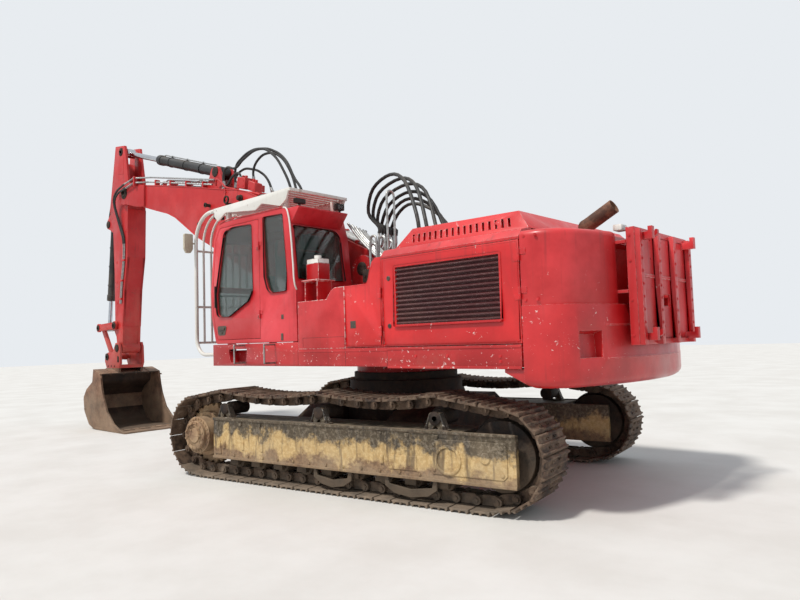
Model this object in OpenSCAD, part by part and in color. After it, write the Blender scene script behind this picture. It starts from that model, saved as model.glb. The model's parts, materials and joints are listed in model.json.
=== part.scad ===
// Crawler excavator, millimetres.
// X runs forward along the boom, Y to the cab side, Z up; the origin lies on the
// ground on the swing axis. Each node is one sub-part in its rest place.

/* [Undercarriage] */
// Angle of the undercarriage under the upper works
under_turn = 8.4; // [-20:0.2:20]
// Distance between sprocket and idler centres
wheelbase = 4325; // [4000:5:4600]
// Distance between the centre lines of the two tracks
gauge = 2950; // [2900:10:3100]
// Width of a track shoe
shoe_w = 640; // [560:10:700]
// Height of the sprocket centre above ground
sprocket_z = 540; // [500:5:580]
// Height of the idler centre above ground
idler_z = 545; // [500:5:580]
// Radius of the track at its lug tips round the sprocket
sprocket_tip_r = 530; // [500:5:540]
// Radius of the track at its lug tips round the idler
idler_tip_r = 515; // [500:5:530]
// Height of the lug tips over the carrier rollers
top_run_z = 1152; // [1120:2:1160]
// Sag of the top run between two carrier rollers
track_sag = 60; // [0:5:70]
// Number of shoes in one track
shoe_count = 52; // [48:1:56]
// Height of a lug above its shoe plate
lug_h = 26; // [15:1:35]
// Thickness of a shoe plate
shoe_t = 18; // [12:1:24]
// Height of the chain links inside the shoes
link_h = 108; // [90:2:115]
// Width of one row of links
link_w = 100; // [60:5:110]
// Clear width between the two rows of links
link_gap = 100; // [90:5:140]
// Height of the track frame's lower edge
frame_z0 = 290; // [280:5:320]
// Height of the track frame's upper edge
frame_z1 = 770; // [740:5:790]
// Number of bottom rollers on one side
roller_count = 9; // [7:1:9]
// Radius of a bottom roller
roller_r = 105; // [90:1:112]
// Radius of a carrier roller
carrier_r = 84; // [70:1:95]

/* [Upper works] */
// Overall width of the upper works
upper_w = 2980; // [2900:10:3100]
// Height of the deck's lower edge
deck_z0 = 1420; // [1400:5:1450]
// Height of the deck's upper edge
deck_z1 = 1630; // [1600:5:1650]
// Front end of the cab platform
deck_front = 2390; // [2340:5:2440]
// Front end of the engine bay
bay_front = -1010; // [-1050:5:-980]
// Length of the counterweight and the rear cowl behind the engine bay
tail_len = 680; // [620:10:740]
// Tail radius of the counterweight
tail_r = 3460; // [3400:10:3520]
// Radius of the counterweight's upright corners
tail_corner_r = 400; // [300:10:450]
// Height of the counterweight's lower face
weight_z0 = 1225; // [1200:5:1260]
// Height of the joint between counterweight and cowl
weight_z1 = 1980; // [1940:5:2020]
// Height of the cowl's top
cowl_z1 = 2680; // [2640:5:2690]
// Height of the hood's side crease
crease_z = 2600; // [2580:5:2620]
// Height of the raised hood's top
hood_z = 2950; // [2880:5:2980]
// Depth of the fixed sill under the cab door
sill_h = 100; // [60:5:110]
// Thickness of the sheet panels
sheet_t = 40; // [25:1:50]
// Half width of the open recess in the tail
recess_half_w = 720; // [600:10:760]

/* [Cab] */
// Inner side of the cab
cab_y0 = 510; // [505:1:530]
// Rear face of the cab
cab_rear = 470; // [450:5:490]
// Height of the cab's lower edge
cab_z0 = 1730; // [1700:5:1760]
// Height of the cab's roof
cab_z1 = 3470; // [3440:5:3500]
// Thickness of the cab's walls
cab_t = 50; // [40:1:60]
// Gap round the cab door
door_gap = 7; // [5.5:0.5:12]
// Thickness of window glass
glass_t = 8; // [5:1:10]
// Number of upright tubes in the front guard
guard_tubes = 8; // [6:1:9]

/* [Boom] */
// Boom foot pin, distance ahead of the swing axis
foot_x = 320; // [300:5:340]
// Boom foot pin, height
foot_z = 2690; // [2670:5:2700]
// Half width of the boom box
boom_half = 250; // [235:1:255]
// Boom nose pin, distance ahead of the swing axis
nose_x = 7790; // [7780:5:7800]
// Boom nose pin, height
nose_z = 5080; // [5070:5:5090]
// Radius of the large pins
pin_r = 55; // [45:1:60]
// Clearance between a pin and its bore
pin_fit = 1; // [0.5:0.1:2]

/* [Boom cylinders] */
// Base pin, distance ahead of the swing axis
boom_cyl_x = 960; // [940:5:980]
// Base pin, height
boom_cyl_z = 1790; // [1780:5:1810]
// Middle of a boom cylinder, distance from the centre plane
boom_cyl_y = 360; // [355:1:365]
// Outer radius of a boom cylinder's barrel
boom_barrel_r = 98; // [85:1:102]
// Radius of a boom cylinder's rod
boom_rod_r = 56; // [45:1:65]

/* [Stick] */
// Half width of the stick
stick_half = 200; // [190:1:202]
// Bucket pin, distance ahead of the swing axis
tip_x = 8200; // [8190:5:8210]
// Bucket pin, height
tip_z = 1730; // [1725:5:1740]
// Outer radius of the stick cylinder's barrel
stick_barrel_r = 95; // [80:1:105]
// Radius of the stick cylinder's rod
stick_rod_r = 55; // [45:1:65]
// Outer radius of the bucket cylinder's barrel
bucket_barrel_r = 82; // [70:1:88]
// Radius of the bucket cylinder's rod
bucket_rod_r = 45; // [38:1:50]

/* [Bucket] */
// Outer width of the bucket
bucket_w = 1340; // [1200:10:1500]
// Thickness of the bucket's side plates
bucket_side_t = 30; // [20:1:40]
// Thickness of the bucket's shell
bucket_shell_t = 28; // [20:1:40]

/* [Hidden] */

$fn = 48;
// Clearance at a seat, and a small step that cuts use to reach past a face
seat_gap = 0.3;
past = 1;
upper_half = upper_w / 2;
cowl_front = -(tail_r - tail_len);
cab_y1 = upper_half;
cab_front = deck_front - 80;

// Colours as the photo shows them
red = [0.75, 0.07, 0.08];
dark_red = [0.40, 0.03, 0.05];
rust = [0.42, 0.30, 0.22];
tan_steel = [0.62, 0.50, 0.33];
black = [0.08, 0.08, 0.08];
chrome = [0.80, 0.81, 0.84];
silver = [0.68, 0.70, 0.72];
white = [0.93, 0.92, 0.90];
glass = [0.35, 0.48, 0.47, 0.45];

// Solid from an X-Z outline, between two values of Y
module slab(y0, y1) translate([0, y1, 0]) rotate([90, 0, 0]) linear_extrude(y1 - y0) children();

// Solid from a Y-Z outline, between two values of X
module rail(x0, x1) translate([x0, 0, 0]) rotate([90, 0, 90]) linear_extrude(x1 - x0) children();

// Box from its lowest to its highest corner
module block(low, high) translate(low) cube(high - low);

// Round bar across the machine
module cross_bar(x, z, r, y0, y1) translate([x, y1, z]) rotate([90, 0, 0]) cylinder(h = y1 - y0, r = r);

// Round bar between two points
module bar(p, q, r) {
  v = q - p;
  translate(p) rotate([0, acos(v[2] / norm(v)), atan2(v[1], v[0])]) cylinder(h = norm(v), r = r);
}

// The children and their mirror image on the other side
module both_sides() {
  children();
  mirror([0, 1, 0]) children();
}

// Turns the undercarriage under the upper works
module under() rotate([0, 0, under_turn]) children();

// A point at a distance and an angle from another, in the X-Z plane
function polar(c, r, a) = [c[0] + r * cos(a), c[1] + r * sin(a)];
function xz(p, y) = [p[0], y, p[1]];
// Direction of length one from a point to another
function toward(a, b) = (b - a) / norm(b - a);
// Outline with its corners rounded, by one radius or by a list of them
function rounded(p, r, n = 4) = let(m = len(p)) [for (i = [0:m - 1])
  let(q = p[i], s = is_list(r) ? r[i] : r, a = toward(q, p[(i + m - 1) % m]), b = toward(q, p[(i + 1) % m]),
    half = acos(a * b) / 2, turn = 180 - 2 * half, c = q + toward([0, 0], a + b) * s / sin(half),
    u = q + a * s / tan(half) - c, v = q + b * s / tan(half) - c)
  each s == 0 ? [q] : [for (k = [0:n]) c + (u * sin((1 - k / n) * turn) + v * sin(k / n * turn))
    / sin(turn)]];

// Hinge knuckles on an upright axis, one solid for each range of heights
module knuckles(x, y, ranges) for (z = ranges) translate([x, y, z[0]]) cylinder(h = z[1] - z[0],
  r = knuckle_r);

// Track path at the lug tips, walked from the rear along the ground to the front and back
sprocket_c = [wheelbase / 2 + 10, sprocket_z];
idler_c = [-wheelbase / 2 + 10, idler_z];
carrier_x = [sprocket_c[0] - 482, 100, idler_c[0] + 692];
front_leave = 72;
rear_meet = 110;
arc_steps = 14;
sag_steps = 6;
rear_rise = 6;
front_arc = [for (i = [0:arc_steps])
  polar(sprocket_c, sprocket_tip_r, -90 + i * (90 + front_leave) / arc_steps)];
rear_arc = [for (i = [0:arc_steps])
  polar(idler_c, idler_tip_r, rear_meet + i * (270 - rear_meet) / arc_steps)];
function span(a, b, sag) = [for (i = [1:sag_steps])
  let(t = i / sag_steps) [a[0] + t * (b[0] - a[0]), a[1] + t * (b[1] - a[1]) - 4 * sag * t * (1 - t)]];
top_a = [carrier_x[0], top_run_z];
top_b = [carrier_x[1], top_run_z];
top_c = [carrier_x[2], top_run_z + rear_rise];
ground_rear = [idler_c[0] + 60, 0];
ground_front = [sprocket_c[0] - 40, 0];
track_path = concat([ground_rear, ground_front], front_arc, [top_a],
  span(top_a, top_b, track_sag), span(top_b, top_c, track_sag), rear_arc, [ground_rear]);
track_len = [for (i = 0, s = 0; i < len(track_path);
  s = s + (i + 1 < len(track_path) ? norm(track_path[i + 1] - track_path[i]) : 0), i = i + 1) s];
track_total = track_len[len(track_len) - 1];
// Place and travel direction at a distance along the track
function at(s) = let(
  u = s - track_total * floor(s / track_total),
  k = max([for (i = [0:len(track_len) - 2]) if (track_len[i] <= u) i]),
  d = track_path[k + 1] - track_path[k])
  [track_path[k] + d * (u - track_len[k]) / norm(d), d / norm(d)];
// The same, moved inwards from the lug tips; the direction is averaged over half a shoe
function inward(s, depth) = let(
  step = track_total / shoe_count / 3,
  p = at(s)[0],
  d = at(s + step)[0] - at(s - step)[0])
  p + depth * [-d[1], d[0]] / norm(d);
shoe_pitch = track_total / shoe_count;
// One shoe's outline: share of the pitch and depth below the lug tips
shoe_profile = [[0.03, 1], [0.10, 0], [0.30, 0.8], [0.48, 0.1], [0.68, 0.8], [0.88, 0.1], [0.97, 1]];
shoe_outer = [for (i = [0:shoe_count - 1]) for (p = shoe_profile)
  inward((i + p[0]) * shoe_pitch, p[1] * lug_h)];
shoe_inner = [for (i = [0:shoe_count - 1]) inward((i + 0.5) * shoe_pitch, lug_h + shoe_t)];
link_outer = [for (i = [0:shoe_count - 1]) inward((i + 0.5) * shoe_pitch, lug_h + shoe_t - 4)];
link_inner = [for (i = [0:shoe_count - 1]) inward((i + 0.5) * shoe_pitch, lug_h + shoe_t + link_h)];
tread_depth = lug_h + shoe_t + link_h;

track_y = gauge / 2;
shoe_y0 = track_y - shoe_w / 2;
shoe_y1 = track_y + shoe_w / 2;
link_y = link_gap / 2;
sprocket_w = link_gap - 20;

frame_y0 = shoe_y0 + 45;
frame_y1 = shoe_y1 - 25;
frame_wall = 62;
frame_x0 = idler_c[0] - 217;
frame_x1 = sprocket_c[0] - 342;
idler_pocket_x = idler_c[0] + 402;
roller_z = tread_depth + roller_r + seat_gap;
carrier_gap = 22;
carrier_z = top_run_z - tread_depth - carrier_r - carrier_gap;
belly_z = roller_z + roller_r + 30;
frame_lip = 15;
// Sprocket teeth: root and tip stay under the links
teeth = 21;
tooth_h = 50;
sprocket_root_r = sprocket_tip_r - tread_depth - 12;
sprocket_slot_r = sprocket_root_r + tooth_h + 15;

module ring_of(outer, inner) difference() {
  polygon(outer);
  polygon(inner);
}

module track() color(rust) {
  slab(shoe_y0, shoe_y1) ring_of(shoe_outer, shoe_inner);
  for (side = [-1, 1]) {
    y = track_y + side * (link_y + link_w / 2);
    slab(y - link_w / 2, y + link_w / 2) ring_of(link_outer, link_inner);
  }
}

module carrier_stand(x) slab(frame_y1 - 130, frame_y1 - 70) difference() {
  polygon([[x - 130, frame_z1], [x - 60, carrier_z + 60], [x + 60, carrier_z + 60], [x + 130, frame_z1]]);
  polygon([[x - 50, frame_z1 - 1], [x, carrier_z - 60], [x + 50, frame_z1 - 1]]);
}

module track_frame() color(tan_steel) {
  difference() {
    union() {
      slab(frame_y0, frame_y1)
        polygon([[frame_x0, frame_z0], [frame_x1, frame_z0], [frame_x1, frame_z1], [frame_x0, frame_z1]]);
      for (z = [frame_z0, frame_z1])
        block([frame_x0, frame_y1 - 5, z - frame_lip], [frame_x1, frame_y1 + frame_lip, z + frame_lip]);
      slab(frame_y0, frame_y0 + frame_wall) {
        translate([frame_x1 - 10, frame_z0]) square([sprocket_c[0] - frame_x1 + 10, frame_z1 - frame_z0]);
        translate(sprocket_c) circle(frame_z1 - sprocket_z);
      }
    }
    block([frame_x0 - 10, frame_y0 + frame_wall, frame_z0 - 20], [idler_pocket_x, frame_y1 - frame_wall,
      frame_z1 + 20]);
    block([frame_x0 - 10, frame_y0 + frame_wall, frame_z0 - 20], [frame_x1 + 10, frame_y1 - frame_wall,
      belly_z]);
    cross_bar(idler_c[0] + 512, idler_z - 45, 120, frame_y1 - frame_wall, frame_y1 + 20);
    cross_bar(idler_c[0] + 42, idler_z, 45, frame_y1 - frame_wall - past, frame_y1 + 20);
    cross_bar(sprocket_c[0], sprocket_z, sprocket_slot_r, track_y - sprocket_w / 2 - 10,
      track_y + sprocket_w / 2 + 10);
  }
  for (x = carrier_x) carrier_stand(x);
}

module sprocket_disc() slab(track_y - sprocket_w / 2, track_y + sprocket_w / 2) translate(sprocket_c)
  polygon([for (i = [0:teeth - 1]) for (k = [0:3])
    polar([0, 0], sprocket_root_r + (k > 1 ? 0 : tooth_h), (i + k / 4) * 360 / teeth)]);

module final_drive() color(rust) {
  sprocket_disc();
  cross_bar(sprocket_c[0], sprocket_z, 290, frame_y0 + frame_wall, track_y + 120);
  cross_bar(sprocket_c[0], sprocket_z, 235, track_y + 110, shoe_y1 - 40);
  cross_bar(sprocket_c[0], sprocket_z, 185, shoe_y1 - 50, shoe_y1 + 5);
}

module final_drives() under() both_sides() final_drive();

// The links bridge the idler's rim in straight chords
idler_chord = cos(90 * shoe_pitch / (PI * idler_tip_r));
idler_rim_r = (idler_tip_r - tread_depth) * idler_chord - 7;
idler_flange = 40;
module idler() color(rust) {
  cross_bar(idler_c[0], idler_z, idler_rim_r, track_y - 140, track_y + 140);
  cross_bar(idler_c[0], idler_z, idler_rim_r + idler_flange, track_y - sprocket_w / 2,
    track_y + sprocket_w / 2);
  cross_bar(idler_c[0], idler_z, 70, frame_y0 + frame_wall, frame_y1 - frame_wall);
}

module idlers() under() both_sides() idler();

roller_reach = wheelbase / 2 - 642;
module bottom_roller(x) color(rust) {
  cross_bar(x, roller_z, roller_r, track_y - 155, track_y + 155);
  cross_bar(x, roller_z, 55, frame_y0 + frame_wall, frame_y1 - frame_wall);
  for (y = [frame_y0 + frame_wall, frame_y1 - frame_wall - 50])
    block([x - 70, y, roller_z - 60], [x + 70, y + 50, belly_z]);
}

module bottom_rollers() under() both_sides()
  for (i = [0:roller_count - 1]) bottom_roller(-roller_reach + i * 2 * roller_reach / (roller_count - 1));

module carrier_rollers() under() both_sides() for (x = carrier_x) color(rust) {
  cross_bar(x, carrier_z, carrier_r, track_y - 130, frame_y1 - 150);
  cross_bar(x, carrier_z, 35, track_y - 130, frame_y1 - 130);
}

module track_left() under() track();
module track_right() under() mirror([0, 1, 0]) track();
module track_frame_left() under() track_frame();
module track_frame_right() under() mirror([0, 1, 0]) track_frame();

// Centre body: two cross members, a belly box, the ring's seat and a towing eye at each end
ring_z0 = 1200;
ring_z1 = 1300;
ring_r = 700;
rail_x = 700;
rail_half = 260;
belly_z0 = 520;
belly_z1 = 940;
tow_lug_x = 1090;
tow_lug_t = 60;
tow_lug_r = 140;
tow_r = 45;
module tow_lug() difference() {
  union() {
    block([rail_x + rail_half - 60, -tow_lug_r, belly_z0], [tow_lug_x, tow_lug_r, belly_z0 + tow_lug_t]);
    translate([tow_lug_x, 0, belly_z0]) cylinder(h = tow_lug_t, r = tow_lug_r);
  }
  translate([tow_lug_x, 0, belly_z0 - past]) cylinder(h = tow_lug_t + 2 * past, r = tow_r);
}
module car_body() under() color(rust) {
  for (turn = [0, 180]) rotate([0, 0, turn]) tow_lug();
  for (side = [-1, 1]) rail(side * rail_x - rail_half, side * rail_x + rail_half)
    polygon([[-frame_y0, frame_z0 + 130], [frame_y0, frame_z0 + 130], [frame_y0, frame_z1 - 50],
      [ring_r + 60, belly_z1 + 20], [-ring_r - 60, belly_z1 + 20], [-frame_y0, frame_z1 - 50]]);
  block([-rail_x, -ring_r - 20, belly_z0], [rail_x, ring_r + 20, belly_z1]);
  translate([0, 0, belly_z1 - 40]) cylinder(h = ring_z0 - belly_z1 + 40, r = ring_r + 60);
}

module slew_ring() under() color(rust) translate([0, 0, ring_z0]) difference() {
  cylinder(h = ring_z1 - ring_z0, r = ring_r);
  translate([0, 0, -past]) cylinder(h = ring_z1 - ring_z0 + 2 * past, r = 0.8 * ring_r);
}

// Plan of the tail: straight sides, round corners and an arc about the swing axis
corner_steps = 10;
tail_steps = 16;
function tail_outline(r, half, corner, front) = let(y = half - corner, x = -sqrt((r - corner)
  * (r - corner) - y * y),
  turn = atan2(y, x), side = [for (i = [0:corner_steps]) polar([x, y], corner, 90 + i * (turn - 90)
    / corner_steps)])
  concat([[front, half]], side,
    [for (i = [1:tail_steps - 1]) polar([0, 0], r, turn + i * (360 - 2 * turn) / tail_steps)],
    [for (i = [corner_steps:-1:0]) [side[i][0], -side[i][1]]], [[front, -half]]);
// Inset and height at each step of an edge rounded by a radius; turned over for a lower edge
edge_steps = 4;
function edge_levels(z, r, lower) = [for (i = [0:edge_steps]) let(a = 90 * (lower ? edge_steps - i : i)
  / edge_steps)
  [r * (1 - cos(a)), z + (lower ? 1 : -1) * r * (1 - sin(a))]];
// Solid of that plan, from its insets and heights
module tail_body(r, front, levels) {
  rows = [for (l = levels) tail_outline(r - l[0], upper_half - l[0], tail_corner_r - l[0], front)];
  n = len(rows[0]);
  polyhedron(points = [for (k = [0:len(levels) - 1]) for (p = rows[k]) [p[0], p[1], levels[k][1]]],
    faces = concat(
    [[for (j = [0:n - 1]) j], [for (j = [n - 1:-1:0]) (len(levels) - 1) * n + j]],
    [for (k = [0:len(levels) - 2]) for (j = [0:n - 1]) let(i = (j + 1) % n) [k * n + j, k * n + n + j,
      k * n + n + i, k * n + i]]));
}

foot = [foot_x, foot_z];
boom_cyl_base = [boom_cyl_x, boom_cyl_z];
foot_tube_half = boom_cyl_y + 20;
cheek_y0 = foot_tube_half + 10;
cheek_y1 = cheek_y0 + 80;
cheek_r = 185;
slot_half = cab_y0 - 5;
ear_r = 125;
slot_back = 1040;
// Pocket in the deck's side, a step for the driver
pocket_z = [deck_z0 + 50, deck_z1];
pocket_x = [1550, 2000];
pocket_depth = 150;

module upper_frame() color(red) {
  difference() {
    translate([0, 0, deck_z0]) linear_extrude(deck_z1 - deck_z0) {
      translate([cowl_front + 20, -upper_half]) square([slot_back + 10 - cowl_front - 20, 2 * upper_half]);
      translate([slot_back, slot_half]) square([deck_front - slot_back, upper_half - slot_half]);
      translate([slot_back, -upper_half]) square([deck_front - 140 - slot_back, upper_half - slot_half]);
    }
    slab(upper_half - pocket_depth, upper_half + past) polygon([[pocket_x[0] + 40, pocket_z[0]],
      [pocket_x[1] - 50, pocket_z[0]], [pocket_x[1], pocket_z[1] + past],
        [pocket_x[0], pocket_z[1] + past]]);
  }
  block([box_x1, cab_y1 - 40, deck_z1 - past], [pocket_x[0] + 10, cab_y1, deck_z1 + sill_h - 10]);
  block([pocket_x[1] - 10, cab_y1 - 40, deck_z1 - past], [deck_front, cab_y1, deck_z1 + sill_h - 10]);
  block([pocket_x[0], cab_y1 - 40, deck_z1 + 20], [pocket_x[1], cab_y1, deck_z1 + sill_h - 10]);
  translate([0, 0, ring_z1 + seat_gap]) cylinder(h = deck_z0 - ring_z1, r = ring_r - 40);
  both_sides() difference() {
    slab(cheek_y0, cheek_y1) {
      polygon([[-560, deck_z1 - past], [740, deck_z1 - past], [690, boom_cyl_z + 60],
        [foot_x + cheek_r - 5, foot_z - 20], [foot_x - cheek_r + 5, foot_z - 20]]);
      translate(foot) circle(cheek_r);
    }
    cross_bar(foot_x, foot_z, pin_r + pin_fit, cheek_y0 - past, cheek_y1 + past);
  }
  both_sides() for (y = [[boom_cyl_y - 145, boom_cyl_y - 100], [boom_cyl_y + 100, slot_half - 5]])
    slab(y[0], y[1]) {
    translate(boom_cyl_base) circle(ear_r);
    translate([boom_cyl_x - 170, deck_z1 - past]) square([ear_r + 130, boom_cyl_z - deck_z1]);
  }
  both_sides() cross_bar(boom_cyl_x, boom_cyl_z, pin_r, boom_cyl_y - 101, boom_cyl_y + 101);
}

// The counterweight has a lip under the deck, a rounded lower edge, two ledges round its
// back and a lifting pocket at each side, placed by an angle about the swing axis
weight_edge_r = 90;
lip_x = cowl_front + 220;
lip_z = [weight_z0 + 145, deck_z0 - 20];
lip_start = cowl_front - 90;
ledge_t = 12;
pocket_turn = 19;
module tail_ledge(z, y) intersection() {
  translate([0, 0, z]) linear_extrude(ledge_t) difference() {
    circle(tail_r + ledge_t, $fn = 180);
    circle(tail_r - 6, $fn = 180);
  }
  translate([-2 * tail_r, y[0], z - past]) cube([1.2 * tail_r, y[1] - y[0], ledge_t + 2 * past]);
}
module counterweight() color(red) {
  difference() {
    union() {
      tail_body(tail_r, cowl_front, concat(edge_levels(weight_z0, weight_edge_r, true), [[0, weight_z1]]));
      block([cowl_front - past, -upper_half + 20, weight_z0], [lip_x, upper_half - 20, lip_z[1]]);
    }
    slab(-upper_half - past, upper_half + past) polygon([[lip_start, weight_z0 - past],
      [lip_x + past, weight_z0 - past], [lip_x + past, lip_z[0]]]);
    both_sides() rotate([0, 0, 180 - pocket_turn]) slab(-140, 140) polygon([[tail_r - 20, weight_z0 + 510],
      [tail_r - 110, weight_z0 + 480], [tail_r - 90, weight_z0 + 265], [tail_r + 60, weight_z0 + 265],
      [tail_r + 60, weight_z0 + 510]]);
  }
  tail_ledge(weight_z0 + 245, [-0.2 * tail_r, 0.27 * tail_r]);
  tail_ledge(weight_z0 + 555, [-0.21 * tail_r, 0.27 * tail_r]);
}

cowl_edge_r = 60;
module cowl_body() difference() {
  tail_body(tail_r - 20, cowl_front - 5, concat([[0, weight_z1]], edge_levels(cowl_z1, cowl_edge_r,
    false)));
  slab(-recess_half_w, recess_half_w) polygon([[-tail_r - 50, weight_z1 - past], [cowl_front - 60,
    weight_z1 - past],
    [cowl_front - 160, cowl_z1 - 220], [cowl_front - 260, cowl_z1 - 70], [-tail_r - 50, cowl_z1 - 70]]);
  block([-tail_r - 50, -recess_half_w, weight_z1 + 300], [-tail_r + 250, recess_half_w, cowl_z1 + past]);
}

module rear_cowl() color(red) {
  cowl_body();
  both_sides() engine_hinge_fixed();
  hood_hinge_fixed();
}

guard_x = -tail_r - 60;
guard_t = 20;
guard_half = recess_half_w - 20;
guard_z0 = weight_z1 - 390;
guard_z1 = cowl_z1 + 20;
guard_window = [[-130, 160], [weight_z1 - 20, weight_z1 + 100]];
lug_z = [guard_z0 + 40, guard_z1 - 120];
module rear_guard() color(red) {
  difference() {
    union() {
      block([guard_x - guard_t, -guard_half, guard_z0], [guard_x, guard_half, guard_z1]);
      for (y = [-guard_half + 10, -240, 180, guard_half - 80])
        block([guard_x - guard_t - 50, y, guard_z0], [guard_x - guard_t + past, y + 70, guard_z1 - 20]);
      for (y = [-guard_half, guard_half - 20]) block([guard_x - past, y, guard_z0], [guard_x + 60, y + 20,
        guard_z1]);
    }
    block([guard_x - guard_t - past, guard_window[0][0], guard_window[1][0]],
      [guard_x + past, guard_window[0][1], guard_window[1][1]]);
  }
  both_sides() for (z = [weight_z1 + 100, cowl_z1 - 130])
    block([guard_x + 59, recess_half_w - 60, z], [-tail_r + 300, recess_half_w, z + 30]);
  both_sides() for (z = lug_z) slab(guard_half - 160, guard_half - 100)
    polygon([[guard_x - 0.5 * guard_t, z],
    [guard_x - guard_t - 130, z], [guard_x - guard_t - 130, z + 120], [guard_x - guard_t - 90, z + 120],
    [guard_x - guard_t - 90, z + 70], [guard_x - 0.5 * guard_t, z + 70]]);
}

// Side panels: the low box behind the cab, the service door and the engine doors
side_y0 = upper_half - sheet_t;
side_gap = 8;
knuckle_r = 12;
knuckle_y = upper_half + knuckle_r + 0.5;
strap_t = 6;
box_x0 = -405;
box_x1 = cab_rear - 20;
box_z1 = deck_z1 + 590;
service_x0 = bay_front;
service_x1 = box_x0 - side_gap;
service_z1 = deck_z1 + 720;
module side_body_left() color(red) {
  slab(900, upper_half) polygon([[box_x0, deck_z1], [box_x1, deck_z1], [box_x1, box_z1], [-90, box_z1],
    [-170, service_z1 - 30], [-240, service_z1], [box_x0, service_z1]]);
  for (x = [170, 400]) block([x, 1160, box_z1 - past], [x + 20, 1400, shelf_z]);
  block([150, 1120, shelf_z - past], [440, 1430, shelf_z + 20]);
}

// Shelf behind the cab with a box-shaped canister
shelf_z = box_z1 + 250;
canister_h = 210;
module canister() {
  color(red) block([190, 1170, shelf_z + 20 + seat_gap], [420, 1360, shelf_z + 20 + canister_h]);
  color(white) translate([305, 1265, shelf_z + 19 + canister_h]) {
    linear_extrude(60) square([220, 180], center = true);
    cylinder(h = 110, r = 45);
  }
}

// Straps of the upright hinges stand on the outer faces
engine_door_x0 = cowl_front + side_gap;
engine_door_x1 = bay_front - side_gap;
engine_hinge_x = engine_door_x0 - 4;
hinge_z = [weight_z1 + 60, crease_z - 200];
service_hinge_x = service_x0 + 10;
service_hinge_z = [deck_z1 + 120, service_z1 - 180];
cab_hinge_x = 1240 - door_gap / 2;
cab_hinge_z = [cab_z0 + 320, cab_z0 + 1240];
function leaf(z) = [for (h = z) [h, h + 55]];
function counter_leaf(z) = [for (h = z) [h + 57, h + 112]];
module strap(x0, x1, y, z) for (h = z) block([x0, y, h[0]], [x1, y + strap_t, h[1]]);

hood_half = upper_half - 200;
shoulder_top = crease_z + 125;
shoulder = [[upper_half, crease_z + 5], [upper_half, crease_z + 30], [upper_half - 60, shoulder_top - 25],
  [upper_half - 160, shoulder_top], [hood_half - 40, shoulder_top], [hood_half - 40, shoulder_top - 35],
  [upper_half - 170, shoulder_top - 35], [upper_half - 80, shoulder_top - 60], [upper_half - 30,
    crease_z + 5]];
module bulkhead() color(red) {
  rail(bay_front, bay_front + sheet_t) polygon([[-upper_half, deck_z1], [side_y0 - 5, deck_z1],
    [side_y0 - 5, crease_z + 30],
    [upper_half - 160, shoulder_top - 25], [-upper_half + 160, shoulder_top - 25],
      [-upper_half, crease_z + 30]]);
  both_sides() rail(cowl_front + 3, bay_front + past) polygon(shoulder);
  for (z = counter_leaf(service_hinge_z)) {
    block([service_hinge_x - 3, side_y0 - 6, z[0]], [service_hinge_x + 3, knuckle_y, z[1]]);
    block([service_hinge_x - 3, side_y0 - 20, z[0]], [service_hinge_x + 20, side_y0 - 4, z[1]]);
  }
  knuckles(service_hinge_x, knuckle_y, counter_leaf(service_hinge_z));
}

engine_top = crease_z - 120;
module engine() color(black) block([cowl_front + 180, -450, deck_z1], [bay_front - 190, 450, engine_top]);

tank_y = slot_half + 55;
oil_tank_x1 = 275;
fuel_tank_x1 = 1480;
module fuel_tank() color(red) block([oil_tank_x1 + 5, -upper_half, deck_z1], [fuel_tank_x1, -tank_y,
  deck_z1 + 810]);
module oil_tank() color(red) block([bay_front + sheet_t, -upper_half, deck_z1], [oil_tank_x1, -tank_y,
  deck_z1 + 930]);
module front_locker() color(red)
  block([fuel_tank_x1 + 5, -upper_half, deck_z1], [deck_front - 150, -tank_y - 140, deck_z1 + 350]);

exhaust_y = 300;
exhaust_r = 75;
exhaust_wall = 9;
exhaust_elbow = [cowl_front - 90, exhaust_y, cowl_z1 + 150];
exhaust_end = [cowl_front - 410, exhaust_y, cowl_z1 + 320];
module exhaust() color(rust) difference() {
  union() {
    translate([exhaust_elbow[0], exhaust_y, cowl_z1]) cylinder(h = exhaust_elbow[2] - cowl_z1,
      r = exhaust_r);
    translate(exhaust_elbow) sphere(1.04 * exhaust_r);
    bar(exhaust_elbow, exhaust_end, exhaust_r);
  }
  bar(exhaust_end - 0.3 * (exhaust_end - exhaust_elbow), exhaust_end + 0.1 * (exhaust_end - exhaust_elbow),
    exhaust_r - exhaust_wall);
}

louvre_x = [engine_door_x0 + 222, engine_door_x1 - 202];
louvre_z = [deck_z1 + 240, crease_z - 110];
slat_count = 13;
module engine_door_panel() {
  difference() {
    slab(side_y0, upper_half) polygon([[engine_door_x0, deck_z1 + side_gap], [engine_door_x1,
      deck_z1 + side_gap],
      [engine_door_x1, crease_z], [engine_door_x0, crease_z]]);
    block([louvre_x[0], side_y0 + 10, louvre_z[0]], [louvre_x[1], upper_half + past, louvre_z[1]]);
  }
  pitch = (louvre_z[1] - louvre_z[0]) / slat_count;
  color(dark_red) for (i = [0:slat_count - 1]) rail(louvre_x[0] - past, louvre_x[1] + past)
    translate([side_y0 + 9, louvre_z[0] + i * pitch]) polygon([[0, 0.45 * pitch], [0, 0.85 * pitch],
      [sheet_t - 11, 0.35 * pitch], [sheet_t - 11, 0.12 * pitch]]);
  strap(engine_hinge_x, engine_door_x0 + 60, upper_half, leaf(hinge_z));
  knuckles(engine_hinge_x, knuckle_y, leaf(hinge_z));
}
module engine_hinge_fixed() {
  strap(cowl_front - 65, engine_hinge_x, upper_half, counter_leaf(hinge_z));
  knuckles(engine_hinge_x, knuckle_y, counter_leaf(hinge_z));
}

module engine_door_left() color(red) engine_door_panel();
module engine_door_right() color(red) mirror([0, 1, 0]) engine_door_panel();

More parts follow.
